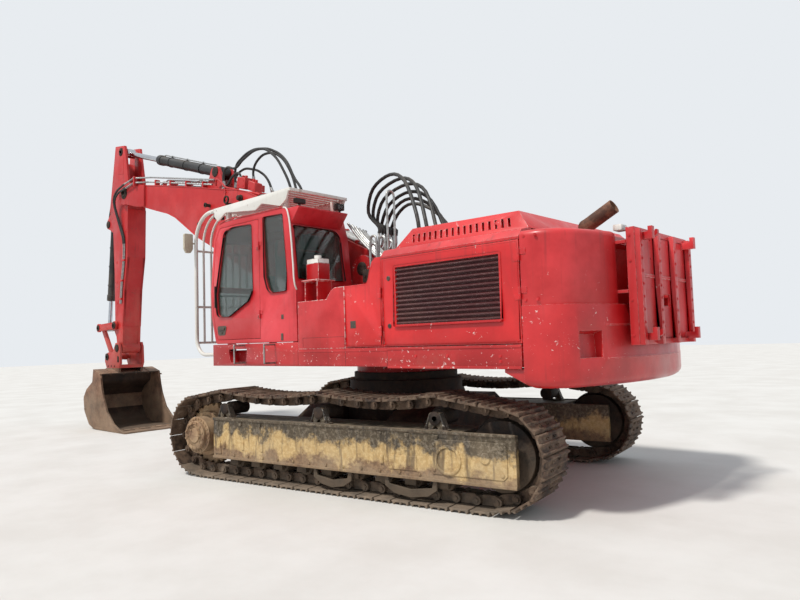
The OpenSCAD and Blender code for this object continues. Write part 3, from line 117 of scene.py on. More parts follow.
def srgb(red: float, green: float, blue: float) -> Colour:
    """Turns a colour written as 0 to 255 into linear light."""
    return tuple(part / 255 / 12.92 if part <= 10 else ((part / 255 + 0.055) / 1.055) ** 2.4
                 for part in (red, green, blue))


def rounded(points: Outline, radii: list[float]) -> Outline:
    """Rounds the corners of an outline.

    Args:
        points: The outline's corners.
        radii: A radius for each corner.

    Returns:
        The rounded outline.
    """
    out = []
    for index, (corner, radius) in enumerate(zip(points, radii)):
        here = Vector(corner)
        back = (Vector(points[index - 1]) - here).normalized()
        on = (Vector(points[(index + 1) % len(points)]) - here).normalized()
        half = back.angle(on) / 2
        turn = math.pi - 2 * half
        if radius == 0:
            out.append(tuple(here))
            continue
        centre = here + (back + on).normalized() * radius / math.sin(half)
        first = here + back * radius / math.tan(half) - centre
        last = here + on * radius / math.tan(half) - centre
        for step in range(CORNER_STEPS + 1):
            share = step / CORNER_STEPS
            spoke = first * math.sin((1 - share) * turn) + last * math.sin(share * turn)
            out.append(tuple(centre + spoke / math.sin(turn)))
    return out


class Shader:
    """Short words for the nodes of one material or group."""

    def __init__(self, tree: bpy.types.NodeTree) -> None:
        """Starts on an empty tree.

        Args:
            tree: The tree that gets the nodes.
        """
        self.tree = tree
        self.nodes = tree.nodes
        self.links = tree.links

    def put(self, kind: str, **inputs: object) -> bpy.types.Node:
        """Adds a node and sets or links its inputs.

        Args:
            kind: The node's type without its ShaderNode prefix.
            inputs: Input names, with underscores for spaces, and values or sockets.

        Returns:
            The new node.
        """
        return self.fill(self.nodes.new("ShaderNode" + kind), **inputs)

    def fill(self, node: bpy.types.Node, **inputs: object) -> bpy.types.Node:
        """Sets or links a node's inputs, named with underscores for spaces.

        Args:
            node: The node.
            inputs: Values or sockets by input.

        Returns:
            The same node.
        """
        for name, value in inputs.items():
            self.feed(node.inputs[name.replace("_", " ")], value)
        return node

    def feed(self, socket: Socket, value: object) -> None:
        """Links a socket to another one, or sets its value.

        Args:
            socket: The input.
            value: A socket, a colour or a number.
        """
        if isinstance(value, Socket):
            self.links.new(value, socket)
        elif isinstance(value, tuple) and len(value) == 3 and socket.type == "RGBA":
            socket.default_value = (*value, 1.0)
        else:
            socket.default_value = value

    def noise(self, vector: object, scale: float, detail: float = 4.0, rough: float = 0.6) -> Socket:
        """Noise between about 0.3 and 0.7 at a scale in waves a metre."""
        return self.put("TexNoise", Vector=vector, Scale=scale, Detail=detail,
                        Roughness=rough).outputs["Fac"]

    def math(self, operation: str, a: object, b: object = 0.0, clamp: bool = False) -> Socket:
        """One arithmetic step.

        Args:
            operation: Blender's name of the step.
            a: First term.
            b: Second term.
            clamp: Whether the result stays between 0 and 1.

        Returns:
            The result.
        """
        node = self.nodes.new("ShaderNodeMath")
        node.operation, node.use_clamp = operation, clamp
        self.feed(node.inputs[0], a)
        self.feed(node.inputs[1], b)
        return node.outputs[0]

    def remap(self, value: object, low: object, high: object, to_low: float = 0.0,
              to_high: float = 1.0) -> Socket:
        """Spreads a value's low to high over another stretch, smoothly and clamped.

        Args:
            value: What is spread.
            low: Start of its stretch.
            high: End of its stretch.
            to_low: What the start becomes.
            to_high: What the end becomes.

        Returns:
            The result.
        """
        node = self.nodes.new("ShaderNodeMapRange")
        node.interpolation_type = "SMOOTHSTEP"
        for index, given in enumerate((value, low, high, to_low, to_high)):
            self.feed(node.inputs[index], given)
        return node.outputs[0]

    def mix(self, factor: object, a: object, b: object) -> Socket:
        """Mixes two colours.

        Args:
            factor: Share of the second colour.
            a: First colour.
            b: Second colour.

        Returns:
            The mixed colour.
        """
        node = self.nodes.new("ShaderNodeMix")
        node.data_type = "RGBA"
        self.feed(node.inputs[0], factor)
        self.feed(node.inputs[6], a)
        self.feed(node.inputs[7], b)
        return node.outputs[2]

    def split(self, vector: object) -> Socket:
        """The three parts of a vector."""
        return self.put("SeparateXYZ", Vector=vector).outputs

    def squeeze(self, vector: object, scale: Point) -> Socket:
        """Stretches a pattern by a scale for each axis."""
        return self.put("Mapping", Vector=vector, Scale=scale).outputs[0]

    def wear(self) -> Socket:
        """How worn a place is: 1 on softened edges, else 0.

        Returns:
            The mark, from 0 to 1.
        """
        node = self.nodes.new("ShaderNodeAttribute")
        node.attribute_name = "wear"
        return node.outputs["Fac"]

    def relief(self, height: object, strength: float, depth: float) -> Socket:
        """The normal of a surface raised by a height, with its depth in metres."""
        return self.put("Bump", Strength=strength, Distance=depth, Height=height).outputs["Normal"]


def new_group(name: str, colours: str, numbers: str, gives: str = "") -> tuple[bpy.types.NodeTree, Shader,
        bpy.types.NodeOutputs, bpy.types.NodeInputs]:
    """Makes an empty shader node group that takes a Vector and gives a Color.

    Args:
        name: The group's name.
        colours: Names of its colour inputs.
        numbers: Names of its number inputs.
        gives: Name of the number that it gives besides the Color, if there is one.

    Returns:
        The tree, its shader helper, the sockets that come in and those that go out.
    """
    tree = bpy.data.node_groups.new(name, "ShaderNodeTree")
    rows = (("INPUT", "Vector", "Vector"), ("INPUT", "Color", colours), ("INPUT", "Float", numbers),
            ("OUTPUT", "Color", "Color"), ("OUTPUT", "Float", gives))
    for direction, kind, names in rows:
        for socket in names.split():
            tree.interface.new_socket(socket, in_out=direction, socket_type="NodeSocket" + kind)
    shader = Shader(tree)
    given, out = shader.nodes.new("NodeGroupInput"), shader.nodes.new("NodeGroupOutput")
    return tree, shader, given.outputs, out.inputs


class Effects:
    """Node groups that several finishes share."""

    def __init__(self) -> None:
        """Builds every group once."""
        self.fade = self.build_fade()
        self.chips = self.build_chips()
        self.dust = self.build_dust()
        self.runs = self.build_runs()
        self.corrosion = self.build_corrosion()

    def build_fade(self) -> bpy.types.NodeTree:
        """Cloudy change between two tones of one paint, with upward faces pushed to the lighter tone:
        partly sun fade, partly painted light from above.

        Returns:
            The group.
        """
        tree, s, given, out = new_group("Fade", "Fresh Faded", "Amount Scale")
        broad = s.noise(given["Vector"], given["Scale"], 5.0, 0.62)
        # Painted light from above: faces turned up lean to the lighter, faded tone, as well as showing real
        # sun fade.
        up = s.split(s.put("NewGeometry").outputs["Normal"])[2]
        sun = s.math("MULTIPLY", s.remap(up, 0.2, 1.0), 0.35)
        cloud = s.math("ADD", s.remap(broad, 0.38, 0.68), sun, clamp=True)
        s.feed(out["Color"], s.mix(
            s.math("MULTIPLY", cloud, given["Amount"]), given["Fresh"], given["Faded"]))
        return tree

    def build_chips(self) -> bpy.types.NodeTree:
        """Chips and scuffs that show what is under a paint, more along worn edges.

        Returns:
            The group.
        """
        tree, s, given, out = new_group("Chips", "Color Under", "Amount Scale Edge", "Mask")
        vector, scale = given["Vector"], given["Scale"]
        fine = s.noise(vector, scale, 8.0, 0.7)
        area = s.noise(vector, s.math("MULTIPLY", scale, 0.13), 3.0, 0.5)
        level = s.math("SUBTRACT", 0.80, s.math("MULTIPLY", given["Amount"], 0.16))
        level = s.math("SUBTRACT", level, s.math("MULTIPLY", s.remap(area, 0.45, 0.7), 0.08))
        spots = s.remap(fine, level, s.math("ADD", level, 0.02))
        edge = s.math("MULTIPLY", given["Edge"], s.remap(fine, 0.42, 0.56))
        mask = s.math("MAXIMUM", spots, edge)
        s.feed(out["Color"], s.mix(mask, given["Color"], given["Under"]))
        s.feed(out["Mask"], mask)
        return tree

    def build_dust(self) -> bpy.types.NodeTree:
        """Dust and dried mud that thicken towards the ground and on ledges.

        Returns:
            The group.
        """
        tree, s, given, out = new_group("Dust", "Color Dust", "Amount Height", "Mask")
        vector = given["Vector"]
        patch = s.noise(vector, 2.2, 7.0, 0.65)
        fine = s.noise(vector, 38.0, 4.0, 0.7)
        z = s.split(vector)[2]
        low = s.math("SUBTRACT", 1.0, s.remap(z, 0.0, given["Height"]))
        up = s.remap(s.split(s.put("NewGeometry").outputs["Normal"])[2], 0.55, 0.95)
        reach = s.math("ADD", s.math("MULTIPLY", low, 0.45), s.math("MULTIPLY", up, 0.25))
        cover = s.remap(s.math("ADD", s.math("ADD", patch, s.math("MULTIPLY", fine, 0.35)), reach), 0.72,
                        1.15)
        mask = s.math("MULTIPLY", cover, given["Amount"], clamp=True)
        s.feed(out["Color"], s.mix(mask, given["Color"], given["Dust"]))
        s.feed(out["Mask"], mask)
        return tree

    def build_runs(self) -> bpy.types.NodeTree:
        """Upright runs left by rain and oil.

        Returns:
            The group.
        """
        tree, s, given, out = new_group("Runs", "Color Run", "Amount")
        thin = s.noise(s.squeeze(given["Vector"], (14.0, 14.0, 0.7)), 1.0, 6.0, 0.6)
        place = s.noise(given["Vector"], 1.1, 2.0, 0.5)
        mask = s.math("MULTIPLY", s.remap(thin, 0.53, 0.70), s.remap(place, 0.42, 0.62))
        s.feed(out["Color"], s.mix(
            s.math("MULTIPLY", mask, given["Amount"]), given["Color"], given["Run"]))
        return tree

    def build_corrosion(self) -> bpy.types.NodeTree:
        """Three browns of rust with a rough height.

        Returns:
            The group.
        """
        tree, s, given, out = new_group("Corrosion", "Dark Mid Light", "Scale", "Height")
        vector, scale = given["Vector"], given["Scale"]
        coarse = s.noise(vector, scale, 8.0, 0.72)
        fine = s.noise(vector, s.math("MULTIPLY", scale, 9.0), 5.0, 0.7)
        colour = s.mix(s.remap(coarse, 0.36, 0.56), given["Dark"], given["Mid"])
        colour = s.mix(s.math("MULTIPLY", s.remap(coarse, 0.52, 0.72), s.remap(fine, 0.35, 0.6)), colour,
                       given["Light"])
        s.feed(out["Color"], colour)
        s.feed(out["Height"], s.math("ADD", s.math("MULTIPLY", coarse, 0.6), s.math("MULTIPLY", fine, 0.4)))
        return tree


@dataclass(frozen=True)
class Paint:
    """A painted steel finish with sun fade (its lighter upward faces partly painted light from above),
    chips, runs and dust.
    """

    name: str
    slot: str
    fresh: Colour
    faded: Colour
    under: Colour = srgb(214, 196, 190)
    run: Colour = srgb(70, 22, 20)
    dust: Colour = srgb(150, 130, 108)
    fade: float = 0.7
    fade_scale: float = 0.9
    chip: float = 0.5
    chip_scale: float = 22.0
    runs: float = 0.35
    dusty: float = 0.3
    dust_height: float = 1.6
    roughness: float = 0.42
    coat: float = 0.25
    bump: float = 0.12

    def build(self, effects: Effects) -> bpy.types.Material:
        """Makes the Blender material.

        Args:
            effects: The node groups that finishes share.

        Returns:
            The material.
        """
        material, s, shader, place = blank_material(self.name)
        colour = use(s, effects.fade, Vector=place, Fresh=self.fresh, Faded=self.faded, Amount=self.fade,
                     Scale=self.fade_scale)["Color"]
        colour = use(s, effects.runs, Vector=place, Color=colour, Run=self.run, Amount=self.runs)["Color"]
        chips = use(s, effects.chips, Vector=place, Color=colour, Under=self.under, Amount=self.chip,
                    Scale=self.chip_scale, Edge=s.wear())
        dust = dusted(s, effects, place, chips["Color"], self)
        patch = s.noise(place, 3.0, 5.0, 0.6)
        soiled = s.math("MAXIMUM", dust["Mask"], chips["Mask"])
        rough = s.math("ADD", s.remap(patch, 0.3, 0.7, self.roughness - 0.08, self.roughness + 0.14),
                       s.math("MULTIPLY", soiled, 0.3), clamp=True)
        height = s.math("SUBTRACT", s.math("MULTIPLY", s.noise(place, 9.0, 3.0, 0.5), 0.7),
                        s.math("MULTIPLY", chips["Mask"], 0.2))
        s.fill(shader, Base_Color=dust["Color"], Roughness=rough, Coat_Weight=self.coat,
               Coat_Roughness=0.22, Normal=s.relief(height, self.bump, 0.02))
        return material


@dataclass(frozen=True)
class Corroded:
    """Bare or worn steel under rust, mud and polish."""

    name: str
    slot: str
    dark: Colour
    mid: Colour
    light: Colour
    scale: float = 6.0
    polish: Colour = srgb(150, 138, 124)
    polished: float = 0.0
    dust: Colour = srgb(146, 128, 106)
    dusty: float = 0.5
    dust_height: float = 1.2
    metallic: float = 0.25
    roughness: float = 0.75
    bump: float = 0.5

    def build(self, effects: Effects) -> bpy.types.Material:
        """Makes the Blender material.

        Args:
            effects: The node groups that finishes share.

        Returns:
            The material.
        """
        material, s, shader, place = blank_material(self.name)
        rust = use(s, effects.corrosion, Vector=place, Dark=self.dark, Mid=self.mid, Light=self.light,
                   Scale=self.scale)
        grit = s.remap(s.noise(place, 30.0, 5.0, 0.7), 0.35, 0.6)
        shine = s.math("MULTIPLY", s.math("MULTIPLY", s.wear(), grit), self.polished)
        dust = dusted(s, effects, place, s.mix(shine, rust["Color"], self.polish), self)
        rough = s.remap(rust["Height"], 0.3, 0.7, self.roughness - 0.1, self.roughness + 0.12)
        rough = s.math("SUBTRACT", rough, s.math("MULTIPLY", shine, 0.3), clamp=True)
        s.fill(shader, Base_Color=dust["Color"], Roughness=rough, Metallic=self.metallic,
               Normal=s.relief(rust["Height"], self.bump, 0.012))
        return material


@dataclass(frozen=True)
class Plain:
    """A moulded, rubber, cloth or bright metal finish with its own grain."""

    name: str
    slot: str
    colour: Colour
    second: Colour
    scale: float = 60.0
    metallic: float = 0.0
    roughness: float = 0.6
    bump: float = 0.15
    dusty: float = 0.25
    dust: Colour = srgb(150, 136, 118)
    dust_height: float = 3.0
    sheen: float = 0.0

    def build(self, effects: Effects) -> bpy.types.Material:
        """Makes the Blender material.

        Args:
            effects: The node groups that finishes share.

        Returns:
            The material.
        """
        material, s, shader, place = blank_material(self.name)
        grain = s.noise(place, self.scale, 6.0, 0.65)
        colour = s.mix(s.remap(grain, 0.35, 0.65), self.colour, self.second)
        dust = dusted(s, effects, place, colour, self)
        rough = s.math("ADD", s.remap(grain, 0.3, 0.7, self.roughness - 0.06, self.roughness + 0.08),
                       s.math("MULTIPLY", dust["Mask"], 0.3), clamp=True)
        s.fill(shader, Base_Color=dust["Color"], Roughness=rough, Metallic=self.metallic,
               Sheen_Weight=self.sheen, Normal=s.relief(grain, self.bump, 0.004))
        return material


@dataclass(frozen=True)
class Pane:
    """Tinted safety glass with a film of dust."""

    name: str
    slot: str
    tint: Colour
    dusty: float = 0.25
    transmission: float = 0.9
    alpha: float = 1.0

    def build(self, effects: Effects) -> bpy.types.Material:
        """Makes the Blender material.

        Args:
            effects: The node groups that finishes share.

        Returns:
            The material.
        """
        material, s, shader, place = blank_material(self.name)
        film = s.remap(s.noise(place, 2.5, 7.0, 0.7), 0.4, 0.75, 0.02, self.dusty)
        s.fill(shader, Base_Color=s.mix(film, self.tint, srgb(170, 165, 150)),
               Roughness=s.math("ADD", film, 0.02, clamp=True), Transmission_Weight=self.transmission,
               IOR=1.45, Alpha=self.alpha)
        return material


@dataclass(frozen=True)
class Banded:
    """A frame's side: oily black above, worn tan in the middle and rust below."""

    name: str
    slot: str
    top: Colour
    middle: Colour
    low: Colour
    top_z: float = 0.60
    low_z: float = 0.40
    dust: Colour = srgb(164, 146, 120)
    dusty: float = 0.45
    dust_height: float = 0.8
    roughness: float = 0.75
    bump: float = 0.4

    def build(self, effects: Effects) -> bpy.types.Material:
        """Makes the Blender material.

        Args:
            effects: The node groups that finishes share.

        Returns:
            The material.
        """
        material, s, shader, place = blank_material(self.name)
        height = s.split(place)[2]
        coarse = s.noise(place, 3.2, 8.0, 0.68)
        fine = s.noise(place, 26.0, 5.0, 0.7)
        streak = s.noise(s.squeeze(place, (9.0, 9.0, 1.2)), 1.0, 6.0, 0.6)
        shift = s.math("MULTIPLY", s.math("SUBTRACT", coarse, 0.5), 0.75)
        level = s.math("ADD", height, shift)
        upper = s.remap(level, self.top_z - 0.05, self.top_z + 0.05)
        lower = s.math("SUBTRACT", 1.0, s.remap(level, self.low_z - 0.07, self.low_z + 0.05))
        colour = s.mix(s.remap(fine, 0.40, 0.62), self.middle, srgb(206, 178, 128))
        colour = s.mix(s.math("MULTIPLY", s.remap(streak, 0.52, 0.66), 0.75), colour, srgb(66, 52, 42))
        dark = s.mix(s.remap(fine, 0.45, 0.66), self.top, srgb(112, 104, 94))
        colour = s.mix(s.math("MULTIPLY", upper, 0.9), colour, dark)
        rust = s.mix(s.remap(fine, 0.38, 0.6), self.low, srgb(122, 92, 68))
        colour = s.mix(s.math("MULTIPLY", lower, 0.9), colour, rust)
        worn = s.math("MULTIPLY", s.wear(), s.remap(fine, 0.42, 0.58))
        dust = dusted(s, effects, place, s.mix(worn, colour, srgb(104, 78, 58)), self)
        height = s.math("ADD", s.math("MULTIPLY", coarse, 0.6), s.math("MULTIPLY", fine, 0.4))
        s.fill(shader, Base_Color=dust["Color"], Normal=s.relief(height, self.bump, 0.01),
               Roughness=s.remap(fine, 0.3, 0.7, self.roughness - 0.12, self.roughness + 0.1))
        return material


Finish = Paint | Corroded | Plain | Pane | Banded


def blank_material(name: str) -> tuple[bpy.types.Material, Shader, bpy.types.Node, Socket]:
    """A material with a Principled shader and Object coordinates.

    Args:
        name: Its name.

    Returns:
        The material, its shader helper, its Principled node and its Object coordinates.
    """
    material = bpy.data.materials.new(name)
    material.use_nodes = True
    s = Shader(material.node_tree)
    shader = s.nodes["Principled BSDF"]
    place = s.put("TexCoord").outputs["Object"]
    return material, s, shader, place


def use(s: Shader, tree: bpy.types.NodeTree, **inputs: object) -> bpy.types.NodeInputs:
    """Places a group in a material and gives back its outputs.

    Args:
        s: The material's shader helper.
        tree: The group.
        inputs: Values or sockets by input.

    Returns:
        The outputs of the group's node.
    """
    node = s.nodes.new("ShaderNodeGroup")
    node.node_tree = tree
    return s.fill(node, **inputs).outputs


def dusted(s: Shader, effects: Effects, place: Socket, colour: object,
           finish: Finish) -> bpy.types.NodeInputs:
    """Lays a finish's own dust over a colour and gives back the group's outputs.

    Args:
        s: The material's shader helper.
        effects: The node groups that finishes share.
        place: Its coordinates.
        colour: What the dust lies on.
        finish: The finish whose dust it is.

    Returns:
        The outputs of the group's node.
    """
    return use(s, effects.dust, Vector=place, Color=colour, Dust=finish.dust, Amount=finish.dusty,
               Height=finish.dust_height)


RED = Paint("Sun-faded red paint", "red_paint", srgb(176, 10, 16), srgb(224, 56, 60), chip=0.6, runs=0.35,
            dusty=0.08, dust_height=1.4, fade=0.75)
CAB_RED = Paint("Chalky cab red", "red_paint", srgb(190, 20, 30), srgb(222, 62, 70), chip=0.3, runs=0.25,
                dusty=0.15, dust_height=2.0, fade=0.9)
DOOR_RED = Paint("Bright panel red", "red_paint", srgb(188, 12, 16), srgb(222, 36, 38), chip=0.7, runs=0.35,
                 dusty=0.08, dust_height=2.0, fade=0.8)
WEIGHT_RED = Paint("Counterweight red", "red_paint", srgb(164, 6, 12), srgb(214, 40, 42), chip=0.75,
                   chip_scale=30.0, runs=0.6, dusty=0.1, dust_height=1.7, coat=0.35, roughness=0.36)
ARM_RED = Paint("Dirty arm red", "red_paint", srgb(176, 14, 18), srgb(206, 48, 46), chip=0.75, runs=0.5,
                dusty=0.25, dust_height=4.0, coat=0.1, roughness=0.48, under=srgb(96, 66, 56))
DECK_RED = Paint("Scuffed deck red", "red_paint", srgb(164, 10, 16), srgb(204, 46, 46), chip=1.0,
                 chip_scale=28.0, dusty=0.2, dust_height=1.9, under=srgb(226, 200, 196), runs=0.4)
# Painted shade: the louvre slats are darkened to stand in for the shade between and behind them.
LOUVRE_SHADE_RED = Paint("Shaded louvre red", "red_paint", srgb(58, 10, 14), srgb(84, 20, 22), chip=0.4,
                   dusty=0.35, dust_height=3.0, dust=srgb(104, 74, 62), coat=0.0, roughness=0.62)
WHITE = Paint("Chipped white paint", "white_paint", srgb(224, 222, 216), srgb(206, 202, 192),
              under=srgb(120, 70, 48), run=srgb(140, 104, 78), chip=0.7, chip_scale=30.0, runs=0.5,
              dusty=0.2, dust_height=5.0)
BLACK = Paint("Satin black paint", "black_paint", srgb(22, 22, 23), srgb(42, 41, 40),
              under=srgb(110, 88, 70), chip=0.6, run=srgb(12, 12, 12), dusty=0.35, dust_height=5.0,
              coat=0.05, roughness=0.5)
STAND_BLACK = Paint("Scratched black stand", "frame_paint", srgb(34, 32, 31), srgb(60, 56, 52),
                    under=srgb(196, 190, 180), chip=1.1, chip_scale=26.0, run=srgb(14, 13, 12), dusty=0.5,
                    dust_height=1.6, coat=0.0, roughness=0.65)
FRAME_SIDE = Banded("Oily track frame", "frame_paint", srgb(46, 42, 38), srgb(184, 152, 100),
                    srgb(84, 56, 40))
TRACK = Corroded("Rusty track steel", "track_steel", srgb(52, 40, 33), srgb(106, 86, 70),
                 srgb(156, 138, 120), polished=0.8, dusty=0.35, dust=srgb(166, 152, 134), dust_height=0.25)
DARK_STEEL = Corroded("Oily dark steel", "track_steel", srgb(26, 21, 18), srgb(54, 41, 33),
                      srgb(90, 72, 56), dusty=0.3, dust_height=1.0)
HUB_TAN = Corroded("Muddy hub", "track_steel", srgb(112, 78, 56), srgb(174, 142, 108), srgb(214, 188, 150),
                   scale=4.0, dusty=0.5)
BUCKET = Corroded("Worn bucket steel", "bucket_steel", srgb(78, 54, 42), srgb(128, 96, 76),
                  srgb(172, 146, 122), scale=3.0, polished=0.8, polish=srgb(184, 172, 156), dusty=0.5,
                  dust_height=1.6)
# Painted shade: darker steel for the inside faces of the bucket, where shade falls.
BUCKET_SHADE_STEEL = Corroded("Shaded bucket steel", "bucket_steel", srgb(36, 25, 20), srgb(62, 45, 36),
                       srgb(96, 76, 62), scale=3.0, dusty=0.3, dust_height=0.5)
EXHAUST = Corroded("Rusted exhaust", "exhaust_rust", srgb(74, 48, 36), srgb(120, 84, 64),
                   srgb(158, 130, 108), dusty=0.1, dust_height=0.5)
CHROME = Plain("Chromed rod", "chrome_rod", srgb(196, 198, 202), srgb(176, 178, 182), scale=14.0,
               metallic=1.0, roughness=0.16, bump=0.02, dusty=0.12)
ZINC = Plain("Zinc plated pipe", "silver_pipe", srgb(184, 186, 186), srgb(140, 140, 138), scale=30.0,
             metallic=0.8, roughness=0.4, dusty=0.25, dust_height=6.0)
RUBBER = Plain("Hose rubber", "hose_rubber", srgb(20, 20, 21), srgb(34, 33, 32), scale=90.0, roughness=0.5,
               dusty=0.2, dust_height=6.0)
SEAL = Plain("Window seal", "hose_rubber", srgb(14, 14, 15), srgb(24, 23, 23), scale=80.0, roughness=0.7,
             dusty=0.12)
BEIGE = Plain("Beige moulding", "beige_plastic", srgb(196, 188, 168), srgb(172, 162, 140), scale=50.0,
              roughness=0.55)
CLOTH = Plain("Woven seat cloth", "seat_fabric", srgb(26, 27, 32), srgb(48, 49, 56), scale=420.0,
              roughness=0.9, bump=0.6, dusty=0.15, sheen=0.3)
TRIM = Plain("Cab trim", "black_paint", srgb(34, 33, 32), srgb(50, 48, 46), scale=200.0, roughness=0.75,
             bump=0.4)
GLASS = Pane("Tinted window", "window_glass", srgb(40, 66, 58), dusty=0.08, transmission=0.5, alpha=0.5)
LAMP_GLASS = Pane("Lamp lens", "window_glass", srgb(225, 228, 226), dusty=0.4)


class Bench:
    """Where pieces are modelled, dressed and put on their bodies."""

    def __init__(self) -> None:
        """Builds the shared effects."""
        self.effects = Effects()
        self.made: dict[str, bpy.types.Material] = {}

    def material(self, finish: Finish) -> bpy.types.Material:
        """The Blender material of a finish, built on first use.

        Args:
            finish: The finish.

        Returns:
            Its material.
        """
        if finish.name not in self.made:
            self.made[finish.name] = finish.build(self.effects)
        return self.made[finish.name]

    def paint(self, piece: bpy.types.Object, finish: Finish) -> None:
        """Gives a piece one finish all over."""
        piece.data.materials.clear()
        piece.data.materials.append(self.material(finish))

    def copy_of(self, node: str, suffix: str) -> bpy.types.Object:
        """A copy of a CAD node's mesh as a new object, alone in the selection.

        Args:
            node: The CAD node's name.
            suffix: What the copy's name ends with.

        Returns:
            The copy.
        """
        piece = bpy.data.objects.new(node + suffix, frame["nodes"][node].data.copy())
        bpy.context.scene.collection.objects.link(piece)
        only(piece)
        return piece

    def dress(self, node: str, finish: Finish, bevel: float) -> bpy.types.Object:
        """Stands a merged copy with softened edges in for a CAD node.

        Args:
            node: The CAD node's name.
            finish: Its finish.
            bevel: Width of the softened edges in millimetres.

        Returns:
            The finished piece.
        """
        piece = self.copy_of(node, "_skin")
        bpy.ops.object.mode_set(mode="EDIT")
        bpy.ops.mesh.select_all(action="SELECT")
        bpy.ops.mesh.remove_doubles(threshold=1e-5)
        bpy.ops.mesh.dissolve_limited(angle_limit=math.radians(0.6))
        bpy.ops.object.mode_set(mode="OBJECT")
        self.round_edges(piece, bevel)
        return self.finish(piece, finish, frame["nodes"][node]["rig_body"], (node,))

    def round_edges(self, piece: bpy.types.Object, bevel: float) -> None:
        """Bevels the sharp edges and marks the new faces as worn.

        Args:
            piece: The piece.
            bevel: Width of the softened edges in millimetres, where 0 leaves them sharp.
        """
        piece.data.materials.clear()
        if bevel <= 0:
            return
        for _ in range(2):
            piece.data.materials.append(None)
        only(piece)
        tool = piece.modifiers.new("Soft edges", "BEVEL")
        tool.width, tool.segments = bevel * MM, 2
        tool.limit_method, tool.angle_limit = "ANGLE", math.radians(EDGE_ANGLE)
        tool.material = 1
        tool.harden_normals = False
        bpy.ops.object.modifier_apply(modifier=tool.name)
        wear = piece.data.attributes.new("wear", "FLOAT", "CORNER")
        for polygon in piece.data.polygons:
            if polygon.material_index == 1:
                for loop in polygon.loop_indices:
                    wear.data[loop].value = 1.0
                polygon.material_index = 0
        piece.data.materials.clear()

    def finish(self, piece: bpy.types.Object, finish: Finish, body: str,
               nodes: tuple[str, ...] = ()) -> bpy.types.Object:
        """Smooths a piece, gives it its material and puts it on its body.

        Args:
            piece: The piece.
            finish: Its finish.
            body: The body that it rides on.
            nodes: CAD nodes that it stands for.

        Returns:
            The piece.
        """
        only(piece)
        bpy.ops.object.shade_smooth_by_angle(angle=math.radians(SMOOTH_ANGLE))
        self.paint(piece, finish)
        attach(piece, body)
        if nodes:
            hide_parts(*nodes)
        log.info("%s: %d faces", piece.name, len(piece.data.polygons))
        return piece

    def zone(self, piece: bpy.types.Object, finish: Finish, low: Point, high: Point,
             heart: Point | None = None) -> None:
        """Gives the faces whose middle lies between two corners, in millimetres, another finish.

        Args:
            piece: The piece whose faces change.
            finish: What they get.
            low: The low corner.
            high: The high corner.
            heart: A point that the faces must look at, if there is one.
        """
        piece.data.materials.append(self.material(finish))
        index = len(piece.data.materials) - 1
        for polygon in piece.data.polygons:
            inside = all(a * MM <= c <= b * MM for a, c, b in zip(low, polygon.center, high))
            if inside and (heart is None or polygon.normal.dot(Vector(heart) * MM - polygon.center) > 0.0):
                polygon.material_index = index

    def bend(self, node: str, finish: Finish, bodies: tuple[str, str]) -> None:
        """Dresses hoses that run from one body to another with a smoothed, painted copy.

        Args:
            node: The CAD node they replace.
            finish: Their finish.
            bodies: The bodies at their start and at their end.
        """
        piece = self.copy_of(node, "_bent")
        piece.matrix_world = frame["nodes"][node].matrix_world.copy()
        self.paint(piece, finish)
        bpy.ops.object.shade_smooth_by_angle(angle=math.radians(HOSE_SMOOTH_ANGLE))
        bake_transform(piece)
        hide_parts(node)
        log.info("%s bends between %s and %s", piece.name, *bodies)


def select_none() -> None:
    """Deselects every object."""
    for other in bpy.context.selected_objects:
        other.select_set(False)


def only(piece: bpy.types.Object) -> None:
    """Makes a piece the one selected and active object.

    Args:
        piece: The piece.
    """
    select_none()
    piece.select_set(True)
    bpy.context.view_layer.objects.active = piece


